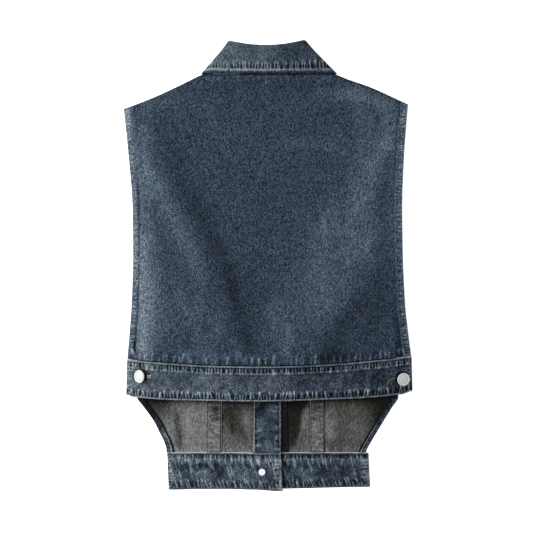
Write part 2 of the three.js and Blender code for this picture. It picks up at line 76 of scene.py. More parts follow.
# Ends of each lighter or darker streak, its strength in levels of 255 and its half width: faded streaks of
# the wash, and painted shade and light on the folds' flanks and down the left edge
back_wash_and_fold_shade = [
    (-160, 50, -160, -125, 40, 17), (-164, 185, -160, 50, 22, 12), (-152, 118, -85, -13, 22, 13),
    (-85, -13, -54, -105, 12, 14), (-145, 190, -106, 99, -6, 12), (-106, 99, -54, 2, -14, 13),
    (-54, 2, -26, -115, -20, 12), (-86, 14, -66, -70, -9, 10), (62, 60, 56, -70, 7, 10),
    (-122, -119, 24, -120, 8, 8), (8, -44, 24, -107, 12, 13), (154, 164, 115, 66, 18, 15),
    (100, 62, 45, -85, 12, 30), (120, 45, 95, 0, 8, 14), (120, -40, 75, -118, -16, 14),
    (140, -5, 135, -115, -7, 22), (-70, 240, 70, 240, -9, 14), (60, 221, 128, 227, 14, 8),
    (128, 225, 124, -5, 14, 17), (90, 224, 150, 214, 16, 10), (-152, -8, -130, -95, 13, 17),
    (166, 200, 163, 10, 15, 9), (149, 218, 152, 150, 13, 10), (-163, -55, -163, -108, 14, 8),
    (-93, -44, -90, -100, 13, 9), (86, -8, 84, -62, 15, 10), (84, 88, 84, 40, 9, 14),
    (-38, -70, -36, -124, 12, 6), (-54, -70, -54, -112, -10, 6), (68, -119, 106, -117, -22, 8),
    (-165, 206, -112, 213, 13, 9), (-163, 150, -152, 115, 13, 8), (-164, 35, -164, -62, 7, 6),
    (-118, -38, -100, -80, 11, 9), (160, 208, 156, 150, 13, 9), (108, 122, 101, -60, 12, 9),
    (128, 66, 126, 8, 11, 10), (70, 75, 72, 22, 11, 7), (16, 158, 105, 157, 10, 9),
    (-118, -116, -70, -118, 12, 9), (-166, -102, -160, -126, 24, 8), (-38, -108, -37, -125, 12, 7),
    (24, -102, 26, -127, 18, 7), (26, -78, 32, -106, 9, 8), (138, 222, 168, 206, 10, 8),
    (148, 150, 134, 60, 7, 9), (72, 10, 70, -80, 8, 8), (-117, -22, -110, -64, 9, 7),
    (-84, -92, -72, -124, 11, 8), (-22, -5, -20, -50, -7, 8), (140, 60, 138, 30, 9, 8),
    (-177, -108, -171, -118.6, 62, 1.3), (-173.5, -97, -172, -117, -45, 2.4),
    (170, -98, 172, -126, -32, 4), (168, -66, 170, -98, -18, 4), (168.5, -111.7, 171.5, -108, 50, 1.3),
    (171.5, -108.6, 177, -110, 34, 1.2),
]


def lerp(a, b, t):
    return a + (b - a) * t


def smooth(rise, run=1.0):
    """Soft step from 0 to 1, as the rise goes from 0 to the run."""
    t = np.clip(rise / run, 0, 1)
    return t * t * (3 - 2 * t)


def crest(distance, width):
    """Soft ridge: 1 on its line, and fading out over its half width."""
    return np.exp(-(distance / width) ** 2)


def pairs(x, y):
    """Points of a plan, from their two places."""
    return np.stack(np.broadcast_arrays(x, y), -1)


def plain(level):
    """The same height or tone everywhere."""
    return lambda x, y: np.full(np.broadcast(x, y).shape, float(level))


def eased(rows, side, y):
    """A table's column at height y, eased between its rows without overshooting them."""
    ys = rows[:, 0]
    xs = rows[:, column[side]]
    secant = np.diff(xs) / np.diff(ys)
    before = np.concatenate([secant[:1], secant])
    after = np.concatenate([secant, secant[-1:]])
    same_way = before * after > 0
    slope = np.where(same_way, 2 * before * after / np.where(same_way, before + after, 1), 0)
    i = np.clip(np.searchsorted(ys, y, side="right") - 1, 0, len(ys) - 2)
    run = ys[i + 1] - ys[i]
    t = np.clip((y - ys[i]) / run, 0, 1)
    rise = (3 - 2 * t) * t * t
    from_slope = (t ** 3 - 2 * t * t + t) * run * slope[i]
    to_slope = (t ** 3 - t * t) * run * slope[i + 1]
    return (1 - rise) * xs[i] + rise * xs[i + 1] + from_slope + to_slope


armhole_foot = {side: eased(armhole, side, armhole[0, 0]) for side in sides}


def spline(points, share):
    """Smooth line through a few points, at shares of its run."""
    last = len(points) - 1
    place = np.clip(share, 0, 1) * last
    i = place.astype(int)
    t = (place - i)[..., None]
    before, start, end, after = (points[np.clip(i + k, 0, last)] for k in (-1, 0, 1, 2))
    leave = (end - before) / 2
    arrive = (after - start) / 2
    cubic = (2 * start - 2 * end + leave + arrive) * t ** 3
    return cubic + (3 * end - 3 * start - 2 * leave - arrive) * t ** 2 + leave * t + start


def patch(bottom, top, left, right, u, v):
    """Grid of points inside four edges, which are given at the shares u across and v upwards."""
    across = u[None, :, None]
    up = v[:, None, None]
    low = lerp(left[0], right[0], across)
    high = lerp(left[-1], right[-1], across)
    between = lerp(bottom[None], top[None], up) + lerp(left[:, None], right[:, None], across)
    return between - lerp(low, high, up)


def soft_lines(rows, x, y):
    """Sum of soft ridges: each fades out across its half width and towards its two ends."""
    total = np.zeros(np.broadcast(x, y).shape)
    for x1, y1, x2, y2, strength, width in rows:
        dx = x2 - x1
        dy = y2 - y1
        length = np.hypot(dx, dy)
        along = ((x - x1) * dx + (y - y1) * dy) / length ** 2
        aside = ((x - x1) * dy - (y - y1) * dx) / length
        taper = smooth(along / 0.3 + 0.5) * smooth((1 - along) / 0.3 + 0.5)
        total += strength * taper * crest(aside, width)
    return total


def puckers(seed, along, away, first, last, spacing, reach, width, lean, uneven=0.32, tilt=0.0):
    """Small creases that a row of stitching draws up between two places along it: how far apart they
    are, how far they reach, how wide they are and how they lean. About 1 high on a crest, 0 between."""
    random = np.random.default_rng(seed)
    count = int((last - first) / spacing)
    places = first + (np.arange(count) + 0.5 + random.uniform(-uneven, uneven, count)) * spacing
    leans = random.normal(tilt, lean, count)
    heights = random.uniform(1 - 1.7 * uneven, 1, count)
    reaches = reach * random.uniform(1.05 - 1.5 * uneven, 1.15, count)
    total = np.zeros(np.broadcast(along, away).shape)
    for place, slant, height, end in zip(places, leans, heights, reaches):
        total += height * crest(along - place - slant * away, width) * smooth(end - away, 0.35 * end)
    return total * smooth(away, 1.5)


def waist_seam(x):
    across = x / half_waist
    return -130.5 + 10.9 * across ** 2 + 1.9 * across


def neck_seam(x):
    return 254.7 + 10.3 * (x / neck_point) ** 2


def back_plan(u, v):
    edges = []
    for side in sides:
        y = lerp(waist_seam(armhole_foot[side]) + gap, shoulder_end[side][1], v)
        edges.append(pairs(np.where(v == 1, shoulder_end[side][0], eased(armhole, side, y)), y))
    x = lerp(armhole_foot["left"], armhole_foot["right"], u)
    bottom = pairs(x, waist_seam(x) + gap)
    x = lerp(-neck_point, neck_point, (u - shoulder_share) / (1 - 2 * shoulder_share))
    neck = pairs(x, neck_seam(x) - 2 * gap - 0.2 * np.abs(x / neck_point))
    left = spline(left_shoulder, u / shoulder_share)
    right = spline(right_shoulder, 1 - (1 - u) / shoulder_share)
    top = np.where((u < shoulder_share)[:, None], left, neck)
    top = np.where((u > 1 - shoulder_share)[:, None], right, top)
    return patch(bottom, top, *edges, u, v)


# The collar's front leaves lie on the table under the fronts, and lift what lies on them
leaf_point = np.array([49.0, 187.0])
leaf_corner = np.array([86.6, 249.6])


def near_leaf(x, y):
    slope = (leaf_corner[1] - leaf_point[1]) / (leaf_corner[0] - leaf_point[0])
    edge = leaf_point[1] + slope * np.maximum(0, np.abs(x) - leaf_point[0])
    return smooth((y - edge) / 60 + 1)


def band_low(x):
    """Underside of the back waistband, which the front placket lifts in its middle."""
    return 3.9 + 2.1 * smooth(150 - np.abs(x), 100)


def from_armhole(x, y):
    return np.minimum(x - eased(armhole, "left", y), eased(armhole, "right", y) - x)


def back_low(x, y):
    inside = from_armhole(x, y)
    body = hem_level + (body_rise - hem_level) * smooth(inside / 60)
    lying = body + (neck_rise - body_rise) * near_leaf(x, y)
    lifted = lying + soft_lines(folds, x, y) * smooth(inside / 18) * smooth(235 - y, 30)
    return lerp(lifted, band_low(x) + 1.05, smooth(-84 - y, 38))


def hem_ladder(side, x, y):
    """Rungs that stitches draw up across an armhole hem, and how far a point is inside its edge."""
    inside = sign[side] * (eased(armhole, side, y) - x)
    return puckers(hem_seed[side], y, inside, -122, 212, 3.3, 8.5, 0.95, 0.1, 0.2), inside


def waist_creases(x, y):
    """Creases above the waistband's seam, and how far a point is above it."""
    above = y - waist_seam(x)
    return puckers(13, x, above, -178, 182, 6.4, 15, 1.4, 0.1), above


def back_relief(x, y):
    """What the sewing does to the back: ladders along the armhole hems and creases above the waistband."""
    relief = 0.6 * waist_creases(x, y)[0]
    for side in sides:
        ladder, inside = hem_ladder(side, x, y)
        relief += 0.4 * ladder * smooth(9 - inside, 2) + 0.35 * crest(inside - hem_ridge[side], 0.9)
        relief += 0.35 * smooth(10.2 - inside, 1.5) * smooth(inside + 1)
    return relief


def back_top(x, y):
    return back_low(x, y) + cloth + back_relief(x, y)


def back_tone(x, y):
    # Streaks of the wash, with painted shade and light on the back's folds
    tone = 57 + soft_lines(back_wash_and_fold_shade, x, y)
    hems = {side: hem_ladder(side, x, y) for side in sides}
    left = hems["left"][1]
    right = hems["right"][1]
    upper = smooth(y - 90, 40)
    lower = smooth(20 - y, 40)
    hem_left = smooth(9 + 0.8 * upper - left, 4.5 - 2.6 * upper)
    tone += hem_left * (32 + 8 * smooth(y - 40, 60) + 34 * smooth(y - 150, 50) - 14 * lower)
    tone += hem_left * 26 * smooth(-94 - y, 20)
    tone += smooth(9.6 - right, 3) * (12 + 8 * upper + 16 * smooth(y - 170, 30))
    tone += 24 * crest(left - hem_ridge["left"], 1.3)
    tone -= (16 - 16 * upper + 14 * lower) * crest(left - 8.7, 1.1)
    tone += 24 * crest(right - hem_ridge["right"], 0.9) - 14 * crest(right - 11, 1.2)
    for ladder, inside in hems.values():
        tone += (70 * ladder - 24) * smooth(9 - inside, 2) * smooth(inside)
        tone += 30 * smooth(1.4 - inside, 0.8)
    creases, above = waist_creases(x, y)
    tone += 74 * creases - 22 * smooth(15 - above, 9) - 34 * smooth(2.0 - above)
    # Painted shade on the rounded rim of the shoulder seams, away from the neck
    left = left_shoulder[-1, 1] + shoulder_fall["left"] * (x + neck_point)
    right = right_shoulder[0, 1] - shoulder_fall["right"] * (x - neck_point)
    below = np.where(x < 0, left, right) - y
    tone -= 20 * smooth(1.8 - below) * smooth(np.abs(x) - 60, 6)
    tone += 26 * puckers(14, x, 250 - y, -84, 88, 5.6, 17, 1.5, 0.2) * smooth(x + 86, 4)
    return tone - 46 * crest(y - collar_shade_line, 0.8) * smooth(88 - np.abs(x), 3)


class Wire:
    """An output of a shader node. Sums and products of wires add the nodes that work them out."""

    def __init__(self, finish, socket):
        self.finish = finish
        self.socket = socket

    def maths(self, operation, other):
        return self.finish.node("Math", {0: self, 1: other}, operation=operation)

    def __add__(self, other):
        return self.maths("ADD", other)

    def __sub__(self, other):
        return self.maths("SUBTRACT", other)

    def __mul__(self, other):
        return self.maths("MULTIPLY", other)

    __radd__ = __add__
    __rmul__ = __mul__


class Finish:
    """A material, built up from shader nodes."""

    def __init__(self, name):
        self.material = bpy.data.materials.new(name)
        self.material.use_nodes = True
        self.tree = self.material.node_tree
        self.tree.nodes.clear()

    def node(self, kind, inputs, output=0, stops=(), **settings):
        """Adds a node of its kind, with what goes into it, a colour ramp's stops and its settings."""
        made = self.tree.nodes.new("ShaderNode" + kind)
        for name, value in settings.items():
            setattr(made, name, value)
        if stops:
            ramp = made.color_ramp.elements
            while len(ramp) < len(stops):
                ramp.new(1.0)
            for stop, (place, colour) in zip(ramp, stops):
                stop.position = place
                stop.color = colour
        for name, value in inputs.items():
            if isinstance(value, Wire):
                self.tree.links.new(value.socket, made.inputs[name])
            else:
                made.inputs[name].default_value = value
        return Wire(self, made.outputs[output])

    def place(self):
        return self.node("TexCoord", {}, "Object")

    def noise(self, place, scale, detail):
        return self.node("TexNoise", {"Vector": place, "Scale": scale, "Detail": detail}, "Fac")

    def surface(self, inputs):
        """Ends the material in its one surface shader, and hands it over."""
        shader = self.node("BsdfPrincipled", inputs)
        output = self.tree.nodes.new("ShaderNodeOutputMaterial")
        self.tree.links.new(shader.socket, output.inputs["Surface"])
        return self.material


lamp_light = 1.7


def dyed(red, green, blue):
    """Cloth colour, from how it looks under the studio light (0 to 255) to what the shader needs."""
    look = np.array([red, green, blue]) / 255
    linear = np.where(look > 0.04045, ((look + 0.055) / 1.055) ** 2.4, look / 12.92)
    return (*(linear / lamp_light), 1.0)


def denim(name, colours, grain, speckle, patch_size, patchy):
    """Twill whose light and dark follow the piece's tone, with flecks of the grain's width and height."""
    finish = Finish(name)
    place = finish.place()
    tone = finish.node("Attribute", {}, "Fac", attribute_name="tone")
    wide, high = grain[0] * MM, grain[1] * MM
    yarns = finish.node("Mapping", {"Vector": place, "Scale": (1 / wide, 1 / high, 1 / high)})
    slubs = finish.node("Mapping", {"Vector": place, "Scale": (0.7 / wide, 0.16 / high, 0.2 / high)})
    fleck = finish.node("TexVoronoi", {"Vector": yarns, "Scale": 1.0}, "Color")
    yarn = finish.noise(yarns, 1.0, 1.0)
    slub = finish.noise(slubs, 1.0, 2.0)
    patches = finish.noise(place, 1 / (patch_size * MM), 3.0)
    across = finish.node("SeparateXYZ", {"Vector": place}, "X")
    down = finish.node("SeparateXYZ", {"Vector": place}, "Y")
    wales = 2 * np.pi / (0.9 * MM)
    twill = finish.node("Math", {0: (across + 0.6 * down) * wales}, operation="SINE")
    flecks = (fleck - 0.5) * (0.6 * speckle) + (yarn + slub - 1) * (0.2 * speckle)
    level = tone + flecks * (tone * 1.7 + 0.55) + (patches - 0.5) * patchy + twill * 0.015
    stops = [(stop / 255, dyed(*look)) for stop, look in colours]
    colour = finish.node("ValToRGB", {"Fac": level}, "Color", stops)
    weave = yarn + 0.4 * fleck + 0.25 * twill
    bump = finish.node("Bump", {"Strength": 0.5, "Distance": 0.25 * MM, "Height": weave}, "Normal")
    return finish.surface({
        "Base Color": colour,
        "Roughness": 0.95,
        "Specular IOR Level": 0.08,
        "Normal": bump,
    })


blue = [
    (15, (12, 15, 20)), (38, (29, 38, 50)), (62, (50, 63, 79)), (85, (70, 87, 106)),
    (110, (94, 110, 128)), (140, (126, 139, 150)), (190, (182, 187, 192)),
]
grey = [
    (15, (15, 15, 14)), (40, (41, 40, 36)), (80, (83, 84, 81)), (110, (115, 117, 118)),
    (150, (152, 153, 152)), (200, (200, 200, 198)),
]
body_denim = denim("washed_denim_panel", blue, (0.6, 1.3), 0.88, 24, 0.05)
inside_denim = denim("denim_wrong_side", grey, (0.95, 2.0), 0.42, 24, 0.1)


def shares(count, length, rim, ease=0.0):
    """Shares from 0 to 1 of a length, close together over its rounded rims, and how full it is at each."""
    turn = np.radians([0, 30, 60])
    near = rim * (1 - np.cos(turn)) / length
    inner = np.linspace(0, 1, count + 1)
    inner = lerp(inner, 0.5 - 0.5 * np.cos(np.pi * inner), ease)
    inner = lerp(rim / length, 1 - rim / length, inner)
    full = np.concatenate([np.sin(turn), np.ones(count + 1), np.sin(turn)[::-1]])
    return np.concatenate([near, inner, 1 - near[::-1]]), full


def placed(name, data):
    """The scene's object for a mesh, a lamp or a camera."""
    item = bpy.data.objects.new(name, data)
    bpy.context.scene.collection.objects.link(item)
    return item


def solid(name, points, faces, finishes):
    """Object with smooth faces between its points."""
    mesh = bpy.data.meshes.new(name)
    mesh.from_pydata((points * MM).tolist(), [], faces)
    for finish in finishes:
        mesh.materials.append(finish)
    mesh.polygons.foreach_set("use_smooth", np.ones(len(faces), bool))
    return placed(name, mesh)


def cloth_piece(name, upper, lower, tone, finishes, under_tone=None):
    """Closed wall between two grids of points that share their outer edge. Its underside is coarser."""
    rows, columns = upper.shape[:2]
    top = np.arange(rows * columns).reshape(rows, columns)
    across = np.union1d(np.arange(0, columns, 2), [columns - 1])
    down = np.union1d(np.arange(0, rows, 2), [rows - 1])
    inner = (slice(1, -1), slice(1, -1))
    coarse = lower[np.ix_(down, across)][inner]
    coarse_tone = (tone if under_tone is None else under_tone)[np.ix_(down, across)][inner]
    under = top[np.ix_(down, across)]
    under[inner] = rows * columns + np.arange(coarse.shape[0] * coarse.shape[1]).reshape(coarse.shape[:2])
    quads = np.stack([top[:-1, :-1], top[:-1, 1:], top[1:, 1:], top[1:, :-1]], -1).reshape(-1, 4)
    faces = quads.tolist()
    for i in range(len(down) - 1):
        for j in range(len(across) - 1):
            left = top[down[i]:down[i + 1] + 1, 0] if j == 0 else under[i:i + 2, j]
            right = top[down[i]:down[i + 1] + 1, -1] if j == len(across) - 2 else under[i:i + 2, j + 1]
            low = top[0, across[j]:across[j + 1] + 1] if i == 0 else under[i, j:j + 2]
            high = top[-1, across[j]:across[j + 1] + 1] if i == len(down) - 2 else under[i + 1, j:j + 2]
            faces.append([*left[:-1], *high[:-1], *right[:0:-1], *low[:0:-1]])
    points = np.concatenate([upper.reshape(-1, 3), coarse.reshape(-1, 3)])
    piece = solid(name, points, faces, finishes)
    mesh = piece.data
    if len(finishes) > 1:
        second = np.arange(len(faces)) >= len(quads)
        mesh.polygons.foreach_set("material_index", second.astype(np.int32))
    levels = np.concatenate([tone.reshape(-1), coarse_tone.reshape(-1)]) / 255
    mesh.attributes.new("tone", "FLOAT", "POINT").data.foreach_set("value", levels.astype(np.float32))
    shape = bmesh.new()
    shape.from_mesh(mesh)
    bmesh.ops.recalc_face_normals(shape, faces=shape.faces)
    shape.to_mesh(mesh)
    shape.free()
    return piece


def laid_piece(name, plan, low, thickness, full, relief, tone, finishes, under_tone=None):
    """Piece lying flat: its plan, the height of its underside, how full it is along its two ways,
    and what stands up from its upper face."""
    x, y = plan[..., 0], plan[..., 1]
    full = full[0][:, None] * full[1]
    middle = low(x, y) + thickness / 2
    upper = np.dstack([x, y, middle + full * (thickness / 2 + relief(x, y))])
    lower = np.dstack([x, y, middle - full * thickness / 2])
    return cloth_piece(name, upper, lower, tone(x, y), finishes, under_tone and under_tone(x, y))


def sewn(piece, node=None):
    """The piece takes the place of its plain solid, which is hidden, and joins the root body."""
    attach(piece, "root")
    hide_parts(node or piece.name.removesuffix("_cloth"))


def stitch_nodes():
    """Geometry Nodes that turn lines into rows of stitches, and their inputs' identifiers by name."""
    group = bpy.data.node_groups.new("rows_of_stitches", "GeometryNodeTree")
    kinds = {"Lines": "Geometry", "Step": "Float", "Size": "Vector", "Thread": "Material"}
    inputs = {}
    for label, kind in kinds.items():
        socket = group.interface.new_socket(label, in_out="INPUT", socket_type="NodeSocket" + kind)
        inputs[label] = socket.identifier
    group.interface.new_socket("Stitches", in_out="OUTPUT", socket_type="NodeSocketGeometry")

    def add(kind, links, **settings):
        node = group.nodes.new(kind)
        for setting, value in settings.items():
            setattr(node, setting, value)
        for socket, source in links.items():
            if hasattr(source, "is_linked"):
                group.links.new(source, node.inputs[socket])
            else:
                node.inputs[socket].default_value = source
        return node.outputs

    given = add("NodeGroupInput", {})
    lines = add("GeometryNodeMeshToCurve", {"Mesh": given["Lines"]})["Curve"]
    steps = add("GeometryNodeResampleCurve", {"Curve": lines, "Length": given["Step"]}, mode="LENGTH")
    bead = add("GeometryNodeMeshUVSphere", {"Segments": 6, "Rings": 4, "Radius": 1.0})["Mesh"]
    along = add("GeometryNodeInputTangent", {})["Tangent"]
    turned = add("FunctionNodeAlignRotationToVector", {"Vector": along}, axis="Z")["Rotation"]
    placed_beads = add("GeometryNodeInstanceOnPoints", {
        "Points": steps["Curve"],
        "Instance": bead,
        "Rotation": turned,
        "Scale": given["Size"],
    })["Instances"]
    real = add("GeometryNodeRealizeInstances", {"Geometry": placed_beads})["Geometry"]
    done = add("GeometryNodeSetMaterial", {"Geometry": real, "Material": given["Thread"]})["Geometry"]
    add("NodeGroupOutput", {"Stitches": done})
    return group, inputs


def thread(name, look):
    """Cotton thread of one colour, lighter and darker along its length."""
    finish = Finish(name)
    worn = finish.noise(finish.place(), 400.0, 1.0)
    stops = [(0.3, dyed(*(0.72 * np.array(look)))), (0.7, dyed(*look))]
    colour = finish.node("ValToRGB", {"Fac": worn}, "Color", stops)
    return finish.surface({"Base Color": colour, "Roughness": 0.9, "Specular IOR Level": 0.1})


stitch_group, stitch_inputs = stitch_nodes()
grey_thread = thread("worn_grey_thread", (118, 127, 130))


def stitched(name, rows, finish=grey_thread, stitch=2.7, step=3.6, radius=0.3):
    """Rows of stitches along lines of points, sunk by half into the cloth."""
    points = np.concatenate(rows) * MM
    ends = np.cumsum([len(row) for row in rows])
    edges = [(i, i + 1) for i in range(len(points) - 1) if i + 1 not in ends]
    mesh = bpy.data.meshes.new(name)
    mesh.from_pydata(points.tolist(), edges, [])
    piece = placed(name, mesh)
    modifier = piece.modifiers.new("stitches", "NODES")
    modifier.node_group = stitch_group
    modifier[stitch_inputs["Step"]] = step * MM
    modifier[stitch_inputs["Size"]] = (radius * MM, radius * MM, stitch / 2 * MM)
    modifier[stitch_inputs["Thread"]] = finish
    evaluated = piece.evaluated_get(bpy.context.evaluated_depsgraph_get())
    sewing = bpy.data.meshes.new_from_object(evaluated)
    piece.modifiers.remove(modifier)
    piece.data = sewing
    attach(piece, "root")


def line_on(top, x, y):
    """Points of a row of stitches, on the upper face of what it holds."""
    x, y = np.broadcast_arrays(x, y)
    return np.stack([x, y, top(x, y) + 0.12], -1)


u, full_u = shares(204, 362, cloth / 2, 0.42)
v, full_v = shares(352, 350, cloth / 2)
back = laid_piece(
    "back_cloth", back_plan(u, v), back_low, cloth, (full_v, full_u), back_relief, back_tone,
    [body_denim, inside_denim], plain(88),
)
sewn(back, node="back_panel")

back_rows = []
for side in sides:
    y = np.linspace(-118, shoulder_end[side][1] - 4, 140)
    x = eased(armhole, side, y) - sign[side] * (hem_ridge[side] + 0.1)
    back_rows.append(line_on(back_top, x, y))
stitched("back_armhole_stitches", back_rows)

# Armhole hems of the back: the edge turned under by 12 mm and stitched down, so they lie
# under the panel and show only from the side.
hem_width = 12


def under_back(x, y):
    return np.maximum(back_low(x, y) - second_ply, 0)


for side in sides:
    along, full_along = shares(90, 330, cloth / 2)
    over, full_over = shares(8, hem_width, cloth / 2)
    y = lerp(waist_seam(armhole_foot[side]) + gap, shoulder_end[side][1], along)[:, None]
    inward = 1 - over if side == "right" else over
    x = eased(armhole, side, y) - sign[side] * inward * hem_width
    hem = laid_piece(
        f"back_armhole_hem_{side}_cloth", pairs(x, y), under_back, cloth, (full_along, full_over),
        plain(0), plain(58), [body_denim],
    )
    sewn(hem)

# Fronts: each is a side panel and a centre panel joined by a flat-felled seam. Only the lowest part
# shows, with its wrong side up, where the undyed weft makes the denim grey.
front_edge = np.array([
    (-243.5, -131.5, 127.6), (-236.6, -132.4, 130.5), (-226, -136.3, 136.6), (-215.8, -141.5, 142.7),
    (-205, -146.6, 149.2), (-195, -153.2, 155.3), (-184.6, -160.8, 161.8), (-170, -170.4, 170.4),
    (-131, -170.4, 170.4), (-104, -160, 160), (-60, -150, 150), (85, -148, 148), (155, -151, 149),
    (211, -175, 170),
])
centre_seam = {"left": -60.6, "right": 55.7}
front_waist = -243.2
front_end = 17.3
placket_width = 36
right_end = front_end - placket_width
shoulder_split = 0.45
felt_width = 18
leaf_lift = 3.3
overlap_lift = 2 * second_ply + gap
band_width = 45.5


def shoulder_point(side, share):
    line = left_shoulder if side == "left" else right_shoulder[::-1]
    return spline(line, share) - pairs(sign[side] * (hem_width + 1) * (1 - share), 2 * (1 - share))


seam_top = {side: shoulder_point(side, np.array(shoulder_split)) for side in sides}


def felled_x(side, share):
    """Inner edge of a felled seam, which bends outward from three tenths of its way up."""
    return lerp(centre_seam[side], seam_top[side][0], np.maximum(0, (share - 0.3) / 0.7) ** 1.6)


def felled_seam(side, share):
    return pairs(felled_x(side, share), lerp(front_waist + gap, seam_top[side][1], share))


def bend_through(points, share):
    """Smooth bend from the first point to the third, drawn towards the second."""
    start, pull, end = (np.array(point, float) for point in points)
    t = np.asarray(share, float)[..., None]
    return (1 - t) ** 2 * start + 2 * t * (1 - t) * pull + t ** 2 * end


def neck_curve(side, share):
    s = sign[side]
    return bend_through([(s * (neck_point - 1), 265), (s * 44, 225), (s * 2.3, 198)], share)


def over_leaf(x, y):
    return leaf_lift * near_leaf(x, y)


def left_front_low(x, y):
    return over_leaf(x, y) + overlap_lift * smooth(x - right_end + 20, 20)


front_low = {"left": left_front_low, "right": over_leaf}


def side_plan(side, u, v):
    foot = front_waist + gap
    end = shoulder_point(side, np.array(0.0))
    y = lerp(foot, end[1], v)
    outer = pairs(np.where(v == 1, end[0], eased(front_edge, side, y)), y)
    inner = felled_seam(side, v) + np.array([sign[side] * gap / 2, 0])
    bottom = pairs(lerp(outer[0, 0], inner[0, 0], u), foot)
    top = shoulder_point(side, u * shoulder_split) + pairs(u * sign[side] * gap / 2, 0)
    return patch(bottom, top, outer, inner, u, v)


def centre_plan(side, u, v):
    end = front_end if side == "left" else right_end
    s = sign[side]
    shoulder_part = 0.35
    neck_part = 0.45

    def neck_edge(share):
        return neck_curve(side, share) + pairs(s * 2 * gap, -(3 + 5 * share) * gap)

    last = neck_edge(np.array(1.0))
    inner = felled_seam(side, v) - np.array([s * gap / 2, 0])
    free = pairs(end, lerp(front_waist + gap, last[1], v))
    bottom = pairs(lerp(inner[0, 0], end, u), front_waist + gap)
    blend = np.clip(u / shoulder_part, 0, 1)
    start = neck_edge(np.array(0.0)) - shoulder_point(side, np.array(1.0))
    seam = pairs((1 - blend) * s * gap / 2, 0)
    on_shoulder = shoulder_point(side, lerp(shoulder_split, 1, blend)) + blend[:, None] * start - seam
    along = (u - shoulder_part) / neck_part
    on_neck = neck_edge(np.clip(along, 0, 1))
    rest = np.clip((along - 1) / ((1 - shoulder_part) / neck_part - 1), 0, 1)
    on_end = pairs(lerp(last[0], end, rest), last[1])
    top = np.where((u < shoulder_part)[:, None], on_shoulder, on_neck)
    top = np.where((along >= 1)[:, None], on_end, top)
    return patch(bottom, top, inner, free, u, v)


def band_depth(x):
    """The back waistband is a little deeper towards its ends, and rounded off at them."""
    return band_width + 2.5 * smooth(np.abs(x) - 60, 90) - 2.6 * smooth(np.abs(x) - 174, 14)


def band_shade(x, y):
    """Shade of the back waistband on what lies under it."""
    below = waist_seam(x) - band_depth(x) - y
    left_corner = smooth(52 - np.hypot(x + 158, (y + 176) * 1.2), 40)
    right_corner = smooth(52 - np.hypot(x - 158, (y + 172) * 1.2), 40)
    corners = 56 * left_corner + 36 * right_corner
    return 52 * np.exp(-np.maximum(below, 0) / 3.2) + 16 * smooth(17 - below, 17) + corners


# Streaks on the fronts' grey side, mostly painted shade and light of soft folds and creases, with some
# wash: each row's ends, its strength in levels of 255 and its half width
grey_fold_shade_and_wash = {
    "left": [
        (-119, -190, -114, -238, -44, 4.5), (-104, -192, -104, -236, 8, 8),
        (-134, -212, -124, -244, 26, 5), (-56, -205, -52, -238, 17, 6),
        (-50, -184, -43, -216, -26, 10), (-28, -190, -25, -235, 23, 6),
        (-33, -212, -24, -238, -24, 4.5), (-66, -186, -68, -203, -36, 7),
    ],
    "right": [
        (72, -190, 84, -226, 24, 8), (96, -190, 96, -240, -3, 6), (116, -206, 110, -242, 12, 13),
        (50, -190, 47, -214, 16, 6), (58, -212, 60, -240, 16, 8), (152, -180, 134, -218, -22, 7),
    ],
}


def front_creases(x, y):
    """Creases above the front waistband's seam."""
    return puckers(31, x, y - front_waist, -128, 126, 4.6, 9, 1.1, 0.25)


def grey_tone(side, x, y):
    # Painted shade and light of the folds with some wash, then the back waistband's shade and the creases
    level = soft_lines(grey_fold_shade_and_wash[side], x, y) - band_shade(x, y) + 36 * front_creases(x, y) - 8
    level -= 34 * crest(x - centre_seam[side], 1.0) * smooth(-150 - y, 10)
    level += 14 * smooth(2.2 - (y - front_waist), 1.2)
    if side == "left":
        return level + 117 - 40 * smooth(x + 62, 3) + 16 * smooth(-222 - y, 14) * smooth(x + 62, 4)
    # Painted shadow that the left placket's raised edge casts on the right front, wider and deeper towards
    # the back waistband
    placket_shadow_edge = 31 + 18 * (1 - np.exp(-np.maximum(y + 243, 0) / 18)) + 6 * smooth(y + 195, 20)
    level -= (55 - 16 * smooth(-218 - y, 20)) * smooth(placket_shadow_edge - x, 7)
    return level + 88 - 10 * smooth(x - 84, 10)


def from_centre_seam(side, x, y):
    """How far a point lies outward of the felled seam's inner edge."""
    foot = front_waist + gap
    return sign[side] * (x - felled_x(side, (y - foot) / (seam_top[side][1] - foot)))


def outside_tone(side, x, y):
    """Wash of the fronts' right side, which lies on the table: lighter down the seams and the chest."""
    away = from_centre_seam(side, x, y)
    level = 56 + soft_lines([(sign[side] * 92, 70, sign[side] * 84, -110, 16, 26)], x, y)
    level += 20 * crest(away - 5, 5) - 14 * smooth(1.5 - np.abs(away), 1.5)
    level += 18 * smooth(5 - np.abs(x - right_end - 2), 4) + 10 * smooth(-225 - y, 14)
    return level + 14 * smooth(12 - from_armhole(x * 1.16, y), 8)


def grey_relief(x, y):
    return 0.45 * front_creases(x, y)


def crowded(count, length, rim, power):
    """Shares that crowd towards the waistband, where the piece shows."""
    share, full = shares(count, length, rim)
    return share ** power, full


panels = (
    ("side", side_plan, 52, 70, (0.14, 0.464), 0.037, ()),
    ("centre", centre_plan, 60, 78, (0.12, 0.508), 0.043, ("collar",)),
)
for side in sides:
    for part, plan, columns, width, flat, area, rests_on in panels:
        v, full_v = crowded(110, 455, cloth / 2, 1.7)
        u, full_u = shares(columns, width, cloth / 2)
        panel = laid_piece(
            f"front_{side}_{part}_cloth", plan(side, u, v), front_low[side], cloth, (full_v, full_u),
            grey_relief, partial(grey_tone, side), [inside_denim, body_denim], partial(outside_tone, side),
        )
        sewn(panel)

